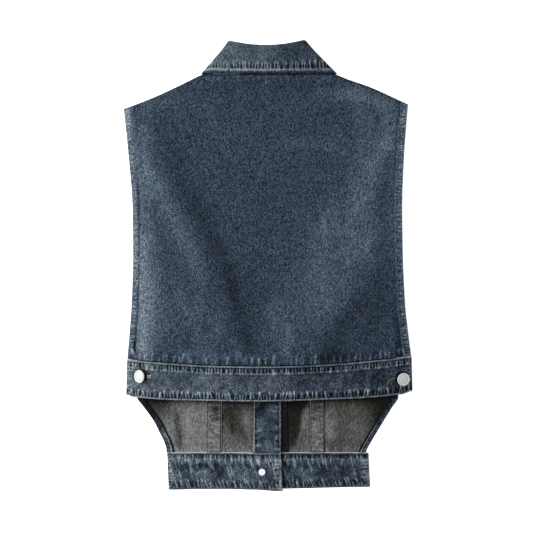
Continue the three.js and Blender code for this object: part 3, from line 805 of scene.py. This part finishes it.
# Flat-felled seams: 18 mm wide, lying on the side panels, rumpled across by their two rows of stitches.
# Darker and lighter streaks on the felled seams: each row's ends, its strength in levels of 255 and its
# half width
felled_streaks = {
    "left": [(-66, -184, -69, -203, -40, 6), (-70, -200, -70, -244, 15, 12)],
    "right": [(64, -204, 64, -244, 26, 10)],
}


def on_front(side, x, y):
    return front_low[side](x, y) + second_ply


def felled_rungs(side, x, y):
    """Rungs across a felled seam, and how far a point is from the seam's inner edge."""
    away = from_centre_seam(side, x, y)
    rungs = puckers(41, y, away, -244, 240, 6.6, 13, 1.6, 0.4)
    return rungs + puckers(42, y, felt_width - away, -244, 240, 6.1, 12, 1.5, 0.4), away


def felled_relief(side, x, y):
    return 0.5 * felled_rungs(side, x, y)[0]


def felled_tone(side, x, y):
    rungs, away = felled_rungs(side, x, y)
    level = (76 if side == "left" else 62) + 48 * rungs
    level += 22 * crest(away - 2.4, 0.9) - 80 * smooth(1.5 - away, 0.8)
    level += 20 * crest(away - felt_width + 1.8, 0.9) - 40 * smooth(away - felt_width + 1.0, 0.8)
    return level - band_shade(x, y) + soft_lines(felled_streaks[side], x, y)


def on_felled_seam(side, x, y):
    return on_front(side, x, y) + cloth + felled_relief(side, x, y)


seam_rows = []
for side in sides:
    v, full_v = crowded(150, 448, cloth / 2, 1.5)
    over, full_over = shares(16, felt_width, cloth / 2)
    line = felled_seam(side, v * 0.985)
    plan = pairs(line[:, :1] + sign[side] * over * felt_width, line[:, 1:])
    seam = laid_piece(
        f"front_{side}_felled_seam_cloth", plan, partial(on_front, side), cloth, (full_v, full_over),
        partial(felled_relief, side), partial(felled_tone, side), [inside_denim],
    )
    sewn(seam)
    line = felled_seam(side, np.linspace(0.003, 0.16, 60))
    for inset in (2.4, felt_width - 2):
        x = line[:, 0] + sign[side] * inset
        seam_rows.append(line_on(partial(on_felled_seam, side), x, line[:, 1]))
stitched("felled_seam_stitches", seam_rows, grey_thread, 2.4, 3.2, 0.26)

# The same seams from outside, and the rows that hold the placket and the hems
outside_rows = []
for side in sides:
    line = felled_seam(side, np.linspace(0.003, 0.97, 200))
    paths = [(line[:, 0] + sign[side] * inset, line[:, 1]) for inset in (1.8, 8.2)]
    for start, end in ((front_waist + 2, -173), (-116, 153)):
        y = np.linspace(start, end, 60)
        paths.append((eased(front_edge, side, y) - sign[side] * 8.4, y))
    if side == "right":
        y = np.linspace(front_waist + 2, 188, 80)
        paths += [(right_end + inset + 0 * y, y) for inset in (2, placket_width - 2)]
    outside_rows += [np.stack([x, y, front_low[side](x, y) + 0.04], -1) for x, y in paths]
stitched("front_outside_stitches", outside_rows, grey_thread, 2.6, 3.4, 0.24)

# Hems of the fronts: 10 mm turned over to the wrong side down the slanted sides and up the armholes,
# so the dark right side of the denim edges the grey.
front_hem_width = 10
faded = [
    (15, (14, 16, 19)), (38, (31, 38, 48)), (62, (52, 64, 77)), (85, (74, 88, 102)),
    (110, (100, 113, 124)), (140, (134, 144, 149)), (190, (186, 190, 190)),
]
band_denim = denim("washed_denim_band", faded, (0.7, 1.4), 0.7, 9, 0.4)


def front_hem_tone(x, y):
    away = np.minimum(x - eased(front_edge, "left", y), eased(front_edge, "right", y) - x)
    low_part = smooth(-190 - y, 34)
    # Painted shade of the back waistband over the hems' upper ends: they are darker towards the top
    level = np.where(x < 0, 16 + 46 * low_part, 22 + 12 * low_part)
    level += (20 + 80 * low_part) * crest(away - 6.5, 0.8)
    level -= 60 * crest(away - 8.9, 1.1) + 16 * smooth(1.4 - away, 0.8)
    level += 52 * crest(away - 2.8, 0.8) * np.where(x < 0, 0.25, 1)
    level += 30 * puckers(43, y, away, -243, -171, 3.9, 7, 0.9, 0.2) - 8
    return level


for side in sides:
    for part, start, end, slack in (("side", front_waist + gap, -171, 1.08), ("armhole", -118, 155, 1.01)):
        along, full_along = shares(84, end - start, cloth / 2)
        over, full_over = shares(18, front_hem_width, cloth / 2)
        y = lerp(start, end, along)[:, None]
        x = eased(front_edge, side, y) - sign[side] * over * front_hem_width
        hem = laid_piece(
            f"front_{side}_{part}_hem_cloth", pairs(x, y), partial(on_front, side), cloth,
            (full_along, full_over), plain(0), front_hem_tone, [band_denim],
        )
        sewn(hem)

# Plackets: the free edge of each front turned back as a facing, so its washed right side shows.
# The left front lies on the right one, whose own facing is in its shadow, so that facing is given painted
# shadow: a near-black tone on the grey finish.
facing_share = {"left": 6 / 13, "right": 8 / 13}
placket_denim = denim("washed_denim_placket", faded, (0.7, 1.4), 0.6, 12, 0.6)
# Darker and lighter streaks on the left placket, darker near its top: each row's ends, its strength in
# levels of 255 and its half width
placket_streaks = [
    (-12, -182, -2, -188, -24, 9), (12, -186, 14, -206, -18, 7), (-12, -208, -8, -222, 12, 6),
    (8, -214, 6, -232, -10, 6), (-14, -232, 12, -238, 14, 6),
]


def placket_relief(x, y):
    left = 0.45 * puckers(51, y, x + 18.6, -243, 190, 8, 12, 1.8, 0.3)
    right = 0.45 * puckers(52, y, front_end - x, -243, 190, 7.2, 14, 1.8, 0.3)
    return left + right


def placket_tone(x, y):
    level = 62 + soft_lines(placket_streaks, x, y) + 64 * placket_relief(x, y) / 0.45 - 8
    level += 86 * smooth(1.8 - (x + 18.6), 0.9) + 62 * smooth(1.7 - (front_end - x), 0.8)
    level -= 40 * crest(x + 15.2, 0.9) + 30 * crest(front_end - x - 3.2, 0.9)
    level -= band_shade(x, y)
    return level


for side in sides:
    shown = side == "left"
    v, full_v = crowded(110, 440, cloth / 2, 1.7)
    u, full_u = shares(36, 40, cloth / 2)
    plan = centre_plan(side, lerp(1 - facing_share[side], 1, u), v)
    placket = laid_piece(
        f"front_{side}_placket_cloth", plan, partial(on_front, side), cloth, (full_v, full_u),
        placket_relief if shown else plain(0), placket_tone if shown else plain(22),
        [placket_denim if shown else inside_denim],
    )
    sewn(placket)


def placket_top(x, y):
    return on_front("left", x, y) + cloth + placket_relief(x, y)


y = np.linspace(front_waist + 2, -168, 40)
placket_rows = [line_on(placket_top, x + 0 * y, y) for x in (-17.2, front_end - 1.8)]
pale_thread = thread("washed_out_thread", (158, 168, 172))
stitched("placket_stitches", placket_rows, pale_thread, 2.6, 3.2, 0.3)

# Side tabs: a strip of denim sewn to each wing of the fronts and folded up round the side. Its end
# lies under the back waistband and carries the side button.
tab_seam = 170.4
tab_tip = 148
tab_edges = {"left": (-165.5, -127), "right": (-163, -127)}
tack_height = 0.8
tab_top = second_ply + tack_height + gap
side_buttons = {
    "left": {"x": -167, "y": -143, "shift": 1.4, "lean": -36, "turn": 0, "fold": 182},
    "right": {"x": 176.6, "y": -147, "shift": -0.7, "lean": 17, "turn": -22, "fold": 185},
}
for side, button in side_buttons.items():
    outer = (tab_top + cloth) / 2
    fold_at = button["fold"] - outer
    along, full_along = shares(40, 58, cloth / 2)
    over, full_over = shares(18, 38.5, cloth / 2)
    middle = outer - cloth / 2
    lower_leaf = fold_at - tab_seam - gap
    upper_leaf = fold_at - tab_tip
    run = along * (lower_leaf + np.pi * middle + upper_leaf)
    turn = np.clip((run - lower_leaf) / (np.pi * middle), 0, 1) * np.pi
    start = np.minimum(run, lower_leaf)
    back_run = np.maximum(run - lower_leaf - np.pi * middle, 0)
    faces = []
    for face in (1, -1):
        radius = middle + face * full_along[None] * full_over[:, None] * cloth / 2
        x = tab_seam + gap + start - back_run + radius * np.sin(turn)
        z = outer - radius * np.cos(turn)
        y = lerp(*tab_edges[side], over)[:, None] + 0 * x
        faces.append(np.dstack([sign[side] * x, y, z]))
    tone = plain(52)(faces[0][..., 0], faces[0][..., 1])
    tab = cloth_piece(f"side_tab_{side}_cloth", *faces, tone, [band_denim])
    sewn(tab)

# Back waistband: two plies of denim, 45.5 mm deep and 3.2 mm thick, cut with the warp along it.
# The stitches along both edges have shrunk in the wash, so its edges are drawn into short creases.
band_thickness = 3.2
band_ends = (-184, 188.3)


def back_band_creases(x, y):
    above = waist_seam(x) - y
    below = band_depth(x) - above
    top = puckers(61, x, above - 1.8, -182, 187, 4.0, 10, 0.95, 0.14, 0.22)
    bottom = puckers(62, x, below - 1.6, -182, 187, 3.9, 12, 0.92, 0.24, 0.24, -0.06)
    fine = puckers(63, x, above - 1.0, -182, -130, 3.4, 9, 0.8, 0.1)
    fine = np.maximum(fine, puckers(64, x, above - 1.0, 95, 186, 3.2, 9, 0.8, 0.15))
    left = puckers(65, y, x - band_ends[0] - 0.8, -176, -122, 3.6, 8, 0.9, 0.1)
    right = puckers(66, y, band_ends[1] - x - 0.8, -170, -112, 3.8, 7, 0.9, 0.1)
    return np.maximum(top, 0.8 * fine) + bottom + 0.7 * left + 0.5 * right, above, below


def back_band_relief(x, y):
    creases, above, below = back_band_creases(x, y)
    waves = 0.3 * np.sin(x / 9.5 + 1.3 * np.sin(y / 13)) * smooth(above - 8, 8) * smooth(below - 8, 8)
    return 0.7 * creases + waves + 0.25 * crest(above - 1.2, 0.8)


band_clouds = [
    (-128, -146, -96, -150, -12, 7), (-84, -140, -70, -158, 10, 8), (-46, -152, -22, -146, -10, 7),
    (-8, -158, 14, -150, 10, 6), (36, -146, 58, -152, -9, 8), (78, -156, 96, -148, 9, 7),
    (118, -142, 146, -150, -8, 8),
]


def back_band_tone(x, y):
    creases, above, below = back_band_creases(x, y)
    level = 73 + 22 * smooth(-132 - x, 42) - 16 * smooth(x - 20, 26)
    level += 7 * smooth(-20 - x, 30) - 8 * smooth(x - 128, 20)
    level -= 10 * smooth(x - 10, 20) * smooth(110 - x, 20) * smooth(14 - above, 5)
    level += soft_lines(band_clouds, x, y)
    rows = smooth(11.5 - above, 4) + smooth(11.5 - below, 5)
    level += 132 * creases - 60 * rows
    level += 108 * smooth(2.2 - above, 0.9) + 118 * smooth(2.4 - below, 0.9)
    level -= 26 * crest(above - 2.9, 0.9) + 12 * crest(below - 3.0, 0.9)
    level += 34 * crest(above - 9.4, 1.1) - 14 * crest(above - 12.4, 1.2)
    level -= 60 * crest(x + 166.3, 0.9) * smooth(12 - above, 2) * smooth(above - 1)
    level -= 60 * crest(x - 176.5, 1.3) * smooth(7 - above, 2) * smooth(above - 1)
    # Painted shade round each side button, where its cap shadows the band
    for side, button in side_buttons.items():
        aside = np.hypot(x - button["x"] + 2.2 * sign[side], y - button["y"] - 0.6)
        level -= 60 * smooth(10.8 - aside, 2.5)
    return level


u, full_u = shares(530, 371, band_thickness / 2)
v, full_v = shares(46, band_width, band_thickness / 2)
x = lerp(band_ends[0] + 1.2 * v[:, None], band_ends[1] - 1.2 * v[:, None], u[None])
plan = pairs(x, waist_seam(x) - band_depth(x) * (1 - v[:, None]))
back_band = laid_piece(
    "back_waistband_cloth", plan, lambda x, y: band_low(x), band_thickness, (full_v, full_u),
    back_band_relief, back_band_tone, [band_denim],
)
sewn(back_band)


def back_band_top(x, y):
    return band_low(x) + band_thickness + back_band_relief(x, y)


x = np.linspace(-181, 185.5, 240)
band_rows = [line_on(back_band_top, x, waist_seam(x) - drop) for drop in (1.6, 9.4, band_depth(x) - 1.9)]
for end in (-180.6, 184.6):
    y = np.linspace(-163, -124, 24) + (2 if end > 0 else 0)
    band_rows.append(line_on(back_band_top, end + 0 * y, y))
stitched("back_waistband_stitches", band_rows, pale_thread)

# Bar of yellow thread at the left buttonhole, and the loose ochre end that the right one has lost.
yellow_thread = thread("yellow_thread", (300, 296, 246))
ochre_thread = thread("ochre_thread", (130, 125, 98))
cross = []
for rise in (-1, 1):
    x = np.linspace(-156, -152.3, 5)
    cross.append(line_on(back_band_top, x, -143.5 + rise * 1.4 * np.linspace(-1, 1, 5)))
stitched("left_buttonhole_bar", cross, yellow_thread, 2.0, 1.1, 0.75)
bend = bend_through([(155.4, -153.6), (157, -147.2), (165.4, -145.8)], np.linspace(0, 1, 16))
loose_end = [line_on(back_band_top, bend[:, 0], bend[:, 1])]
stitched("right_buttonhole_thread", loose_end, ochre_thread, 3.2, 1.6, 0.75)

# Front waistbands: the same band in two halves, more strongly puckered. The left half lies on the
# right one, with the button between them and the table.
button_place = (-7.3, -267.3)
cap_height = 2.6
band_lift = band_thickness + 2 * gap


def over_cap(x, y):
    near = np.hypot(x - button_place[0], y - button_place[1])
    return (cap_height + gap) * smooth(30 - near, 20)


def left_band_low(x, y):
    return over_cap(x, y) + band_lift * smooth(x + 44, 22)


band_wash = [
    (-130, -249, -104, -249, 24, 7), (-120, -256, -96, -286, -10, 7), (-100, -252, -74, -284, 12, 5),
    (-92, -258, -88, -266, -24, 7), (-66, -256, -62, -276, -20, 7), (-50, -252, -22, -286, 10, 6),
    (-2, -266, 8, -284, -14, 6), (6, -256, 12, -262, 20, 7), (40, -258, 50, -284, 8, 6),
    (62, -264, 78, -278, -12, 7), (96, -262, 104, -274, -14, 7),
]
front_band_low = {"left": left_band_low, "right": over_cap}
front_band_ends = {"left": (-131.3, front_end), "right": (right_end - 1, 131.5)}


def band_foot(side, x):
    """Lower edge of a front waistband."""
    if side == "left":
        return -290.8 - 0.8 * smooth(-90 - x, 40) - 1.9 * smooth(x + 20, 30)
    return -290.2 + 2.2 * smooth(x - 10, 120)


def front_band_creases(side, x, y):
    """Creases of a front waistband, and how far a point is from its upper and its lower edge."""
    above = front_waist - y
    below = y - band_foot(side, x)
    start, end = front_band_ends[side]
    top = puckers(71, x, above - 1.6, -131, 131, 4.6, 15, 1.0, 0.16, 0.38, 0.12)
    bottom = puckers(72, x, below - 0.8, -131, 131, 4.3, 15, 0.95, 0.16, 0.32, -0.3)
    across = 0.7 * puckers(73, x, above - 4, -135, 125, 8, 34, 0.9, 0.14, 0.4, 0.28)
    left = puckers(74, y, x - start - 0.8, -290, -244, 4.0, 8, 1.0, 0.1)
    right = puckers(75, y, end - x - 0.8, -290, -244, 4.2, 10, 1.0, 0.1)
    return np.maximum(top, across) + bottom + 0.8 * left + 0.8 * right, above, below


def front_band_relief(side, x, y):
    return 0.75 * front_band_creases(side, x, y)[0]


def front_band_tone(side, x, y):
    creases, above, below = front_band_creases(side, x, y)
    start, end = front_band_ends[side]
    level = 76 - 10 * smooth(x - 14, 20) + 1.3 * soft_lines(band_wash, x, y) + 108 * creases
    level -= 38 * (smooth(11 - above, 6) + smooth(13 - below, 6))
    level += 22 * crest(above - 8, 0.9) - 18 * crest(above - 17, 4.5)
    level += 84 * smooth(1.7 - above, 0.8) - 20 * crest(above - 2.8, 0.8) + 44 * smooth(2.0 - below, 0.8)
    level += 52 * smooth(2.0 - (end - x)) + 40 * smooth(1.6 - (x - start), 0.9)
    # Painted shadow of the left half's raised end on the right half, just beside it
    return level - 52 * smooth(25 - x, 7) * (side == "right")


def front_band_top(side, x, y):
    return front_band_low[side](x, y) + band_thickness + front_band_relief(side, x, y)


band_rows = []
for side in sides:
    start, end = front_band_ends[side]
    u, full_u = shares(220, end - start, band_thickness / 2)
    v, full_v = shares(44, 46, band_thickness / 2)
    x = lerp(start, end, u)
    y = lerp(band_foot(side, x), front_waist, v[:, None])
    band = laid_piece(
        f"front_waistband_{side}_cloth", pairs(x + 2.2 * (front_waist - y) / 46, y), front_band_low[side],
        band_thickness, (full_v, full_u), partial(front_band_relief, side), partial(front_band_tone, side),
        [band_denim],
    )
    sewn(band)
    top = partial(front_band_top, side)
    x = np.linspace(start + 2.2, end - 2.2, 120)
    for y in (front_waist - 1.5, front_waist - 8, band_foot(side, x) + 2.2):
        band_rows.append(line_on(top, x, y))
    for x in (start + 2.2, end - 2.2):
        band_rows.append(line_on(top, x, np.linspace(-285, -247, 24)))
stitched("front_waistband_stitches", band_rows)

# Collar: an upper ply and an under ply, turned over along the fold line and sewn round the neck. It
# is pressed flat from back to front, so its two leaves come round the sides and lie under the fronts.
roll = 2.3
stand_half = 1.6
settle_depth = 1.3
collar_edge = 249.6
collar_middle = stand_half + 2 * roll + cloth + gap / 2
collar_sides = {"left": (50.3, 85.4), "right": (48.3, 89)}


def collar_fold(x):
    return 285.5 + 5.15 * (x / 50) ** 2 + 0.65 * (x / 50)


def leaf_stations(side):
    """Places of the sections from the end of the collar's fold round to the end of its leaf: each has
    its side, its turn round the neck, its share of the fold and its share of the leaf."""
    fronts = [*np.linspace(0, 1, 27)[:-1], 0.99, 1.0]
    turned = [(side, np.pi * k / 12, 1.0, None) for k in range(1, 12)]
    return turned + [(side, np.pi, 1.0, front) for front in fronts]


# The section runs from the fall's edge over the roll to the neck seam
fall = 36.0
rim = np.array([0, 0.074, 0.275, 0.55])
fall_shares = 1 - np.concatenate([rim, np.linspace(1.2, 15, 18), np.linspace(16.5, 32.5, 11)]) / fall
roll_angles = np.radians(np.linspace(90, -90, 11))
stand_shares = np.array([0.25, 0.5, 0.75, 0.96, 0.985, 1.0])
is_fall = np.concatenate([np.ones(len(fall_shares) + 5, bool), np.zeros(6 + len(stand_shares), bool)])
is_roll = np.concatenate([0 * fall_shares, np.ones(11), 0 * stand_shares]) > 0
section_share = np.concatenate([fall_shares, np.zeros(11), stand_shares])
section_angle = np.concatenate([0 * fall_shares, roll_angles, 0 * stand_shares])
section_full = np.ones(len(section_share))
section_full[:4] = (0, 0.5, 0.87, 1)
section_full[-3:] = (0.87, 0.5, 0)


def collar_line(station, n, extra):
    """One section of the collar, n outward of the middle between its two plies."""
    side, turn, share, front = station
    s = sign[side]
    fold, edge = collar_sides[side]
    bend = roll + n
    half = np.where(is_fall, stand_half + 2 * roll + n, stand_half - n)
    half = np.where(is_roll, stand_half + roll + bend * np.sin(section_angle), half)
    wide = np.where(is_roll, half + 1.4 * np.cos(section_angle), half)
    rolled = roll - bend * np.cos(section_angle)
    if front is None:
        crease = collar_fold(s * fold)
        at_fold = s * share * fold
        top_y = collar_fold(at_fold)
        to_edge = top_y - collar_edge + extra(at_fold)
        to_neck = top_y - neck_seam(at_fold * neck_point / fold)
        depth = np.where(is_roll, rolled, section_share * np.where(is_fall, to_edge, to_neck))
        widen = np.where(is_fall, (edge - fold) / (crease - collar_edge), (neck_point - 1 - fold) / 26)
        x = s * share * (fold - stand_half - 2 * roll + widen * np.maximum(depth, 0))
        drawn_up = 0.22 * wide * np.sin(turn) * smooth(1 - section_share / 0.3)
        y = top_y - depth + drawn_up
    else:
        start = bend_through([(s * fold, collar_fold(50)), (s * 35, 250), (s * 2.3, 224)], front)
        outer = np.array([s * lerp(edge, leaf_point[0], front), lerp(collar_edge, leaf_point[1], front)])
        inner = neck_curve(side, front)
        target = np.where(is_fall[:, None], outer, inner)
        reach = np.hypot(*(target - start).T)
        along = np.where(is_roll, rolled / reach, section_share)
        x = lerp(start[0], target[:, 0], along) - s * (stand_half + 2 * roll) * (1 - front)
        y = lerp(start[1], target[:, 1], along)
    settle = settle_depth * section_share ** 2 * np.cos(turn) * is_fall * (turn < np.pi / 2)
    return np.stack([x + s * wide * np.sin(turn), y, collar_middle + half * np.cos(turn) - settle], -1)


def collar_creases(x, away):
    top = puckers(81, x, away - 4.2, -86, 88, 4.0, 12, 0.95, 0.08, 0.2)
    return top * smooth(away - 4.4, 1.2)


def collar_tone(x, away):
    level = 86 - 11 * smooth(x + 42, 25) - 19 * smooth(x - 6, 20)
    level += soft_lines([(-70, 6, 60, 6, 6, 2.0)], x, away)
    level += (60 - 10 * smooth(x - 10, 30)) * crest(away - 4.2, 1.1)
    # Painted shade where the collar's edge rolls under, darkest on the edge itself
    level -= (26 - 16 * smooth(x + 20, 50)) * smooth(2.8 - away) + 30 * smooth(0.7 - away, 0.5)
    level += 112 * collar_creases(x, away) - 50 * smooth(15 - away, 7) * smooth(away - 5.0)
    return level


collar_denim = denim("washed_denim_collar", faded, (0.65, 1.3), 0.72, 14, 0.2)
middle = [("left" if share < 0 else "right", 0.0, abs(share), None) for share in np.linspace(-1, 1, 211)]
stations = leaf_stations("left")[::-1] + middle + leaf_stations("right")
station_full = np.ones(len(stations))
station_full[[0, -1]] = 0
station_full[[1, -2]] = 0.87


def peep(x):
    return 2.2 * smooth(x + 51, 12) * smooth(-18 - x, 14)


for node, middle_n, extra in (("collar", 0.7, lambda x: 0), ("undercollar", -0.7, peep)):
    outer_face, inner_face, tones = [], [], []
    for station, full in zip(stations, station_full):
        thick = full * section_full * cloth / 2
        line = collar_line(station, middle_n + thick, extra)
        hidden = is_roll | ~is_fall
        away = np.where(hidden, 40.0, (1 - section_share) * (fall + extra(line[0, 0])))
        if station[1] == 0.0 and node == "collar":
            ridge = 0.35 * crest(away - 4.6, 1.4)
            line[:, 2] += section_full * (0.5 * collar_creases(line[:, 0], away) + ridge)
        outer_face.append(line)
        inner_face.append(collar_line(station, middle_n - thick, extra))
        # The under ply's dark tone is painted shade under the collar's edge, with a light line along its
        # own edge
        under = 24 + 76 * crest(away - 0.9, 0.6)
        tones.append(collar_tone(line[:, 0], away) if node == "collar" else under)
    piece = cloth_piece(
        f"{node}_cloth", np.array(outer_face), np.array(inner_face), np.array(tones), [collar_denim],
    )
    sewn(piece)

# Buttons: caps of turned and silver-plated metal on a neck, with a rolled rim and a shallow ring. The
# side ones lean in their buttonholes; the front one is under the waistband, its cap on the table.
cap_profile = [
    (0, 0), (7.2, 0), (8.1, 0.25), (8.5, 0.7), (8.6, 1.2), (8.45, 1.7), (8.1, 2.1), (7.6, 2.35),
    (7.1, 2.35), (6.6, 2.0), (6.3, 1.82), (5.9, 1.95), (5.5, 2.15), (3, 2.4), (0, 2.45),
]
cap_radius = 8.6
neck_radius = 2.2
steps = 64


def lathe(profile, lean=0.0, towards=0.0):
    """Points and faces of a closed turned body; the profile starts and ends on its axis."""
    turn = np.linspace(0, 2 * np.pi, steps, endpoint=False)
    rings = [(r * np.cos(turn), r * np.sin(turn), z + 0 * turn) for r, z in profile[1:-1]]
    points = np.concatenate([np.stack(ring, -1) for ring in rings])
    points = np.concatenate([points, [(0, 0, profile[0][1]), (0, 0, profile[-1][1])]])
    lean, towards = np.radians((lean, towards))
    out = points[:, 0] * np.cos(lean) + points[:, 2] * np.sin(lean)
    z = points[:, 2] * np.cos(lean) - points[:, 0] * np.sin(lean)
    x = out * np.cos(towards) - points[:, 1] * np.sin(towards)
    y = out * np.sin(towards) + points[:, 1] * np.cos(towards)
    faces = []
    last = len(rings) - 1
    for k in range(steps):
        after = (k + 1) % steps
        faces.append((after, k, last * steps + steps))
        faces.append((last * steps + k, last * steps + after, last * steps + steps + 1))
        for ring in range(last):
            low, high = ring * steps, ring * steps + steps
            faces.append((low + k, low + after, high + after, high + k))
    return np.stack([x, y, z], -1), faces


def fitting(name, bodies, place, face, finish):
    """Metal piece of turned bodies, at its place, with its face up (1) or down (-1)."""
    points, faces = [], []
    for body_points, body_faces in bodies:
        start = sum(len(part) for part in points)
        points.append(body_points * (1, face, face) + place)
        faces += [tuple(start + i for i in corners) for corners in body_faces]
    piece = solid(name, np.concatenate(points), faces, [finish])
    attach(piece, "root")
    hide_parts(name.removesuffix("_metal"))


def neck(foot):
    """Neck of a button, from its foot up into the cap."""
    return lathe([(0, foot), (neck_radius, foot), (neck_radius, cap_height / 3), (0, cap_height / 3)])


def metal(name, colour, roughness, metallic):
    """Metal or lacquer of one colour, with a slightly uneven gloss."""
    finish = Finish(name)
    gloss = roughness + (finish.noise(finish.place(), 900.0, 2.0) - 0.5) * 0.2
    return finish.surface({"Base Color": colour, "Metallic": metallic, "Roughness": gloss})


silver = metal("silver_plate", (0.55, 0.558, 0.56, 1), 0.8, 1.0)
for side, button in side_buttons.items():
    rise = np.sin(np.radians(abs(button["lean"]))) * cap_radius
    seat = band_low(button["x"]) + band_thickness + gap + rise
    bodies = [lathe(cap_profile, button["lean"], button["turn"]), neck(tab_top + cloth + gap - seat)]
    place = (button["x"] + button["shift"], button["y"], seat)
    fitting(f"button_{side}_metal", bodies, place, 1, silver)
    tack = bpy.data.objects[f"tack_{side}"]
    tack.data.materials.clear()
    tack.data.materials.append(silver)

bodies = [lathe(cap_profile), neck(-band_thickness - gap)]
fitting("front_button_metal", bodies, (*button_place, cap_height), -1, silver)

# Tack of the front button: a white-lacquered head with a pressed ring, hammered through the waistband.
tack_profile = [
    (0, 4.0), (1.2, 4.0), (1.2, 0.8), (3.8, 0.8), (4.2, 0.6), (4.35, 0.35), (4.1, 0.08), (3.7, 0.0),
    (2.5, 0.02), (2.2, 0.16), (1.7, 0.16), (1.4, 0.02), (0, 0.0),
]
white = metal("white_lacquer", (0.58, 0.6, 0.61, 1), 0.45, 0.0)
tack_face = cap_height + gap + band_lift + band_thickness + gap + tack_height
place = (*button_place, tack_face)
fitting("front_tack_metal", [lathe(tack_profile)], place, -1, white)

# Floor, light and camera: a plain pale table, a wide soft lamp on the left and a lens straight above.
reach = 4000
sunk = -0.3
corners = [(-reach, -reach, sunk), (reach, -reach, sunk), (reach, reach, sunk), (-reach, reach, sunk)]
paper = Finish("light_table").surface({
    "Base Color": (0.9, 0.9, 0.9, 1),
    "Roughness": 1.0,
    "Emission Color": (1, 1, 1, 1),
    "Emission Strength": 0.55,
})
floor = solid("floor", np.array(corners), [(0, 1, 2, 3)], [paper])

world = bpy.data.worlds.new("studio")
bpy.context.scene.world = world
world.use_nodes = True
sky = world.node_tree.nodes["Background"].inputs
sky["Color"].default_value = (1, 1, 1, 1)
sky["Strength"].default_value = 0.8
lamp = bpy.data.lights.new("soft_lamp", "AREA")
lamp.shape = "DISK"
lamp.size = 2.0
lamp.energy = 120
lamp_object = placed("soft_lamp", lamp)
lamp_object.location = (-2.2, 0.6, 1.9)
lamp_object.rotation_euler = (-Vector(lamp_object.location)).to_track_quat("-Z", "Y").to_euler()
bpy.context.scene.view_settings.view_transform = "Standard"

lens = bpy.data.cameras.new("camera")
lens.lens = 85
lens.sensor_width = 36
camera = placed("camera", lens)
frame_width = 0.6929
camera.location = (-1.5 * MM, -0.65 * MM, frame_width * lens.lens / lens.sensor_width + 6 * MM)
bpy.context.scene.camera = camera
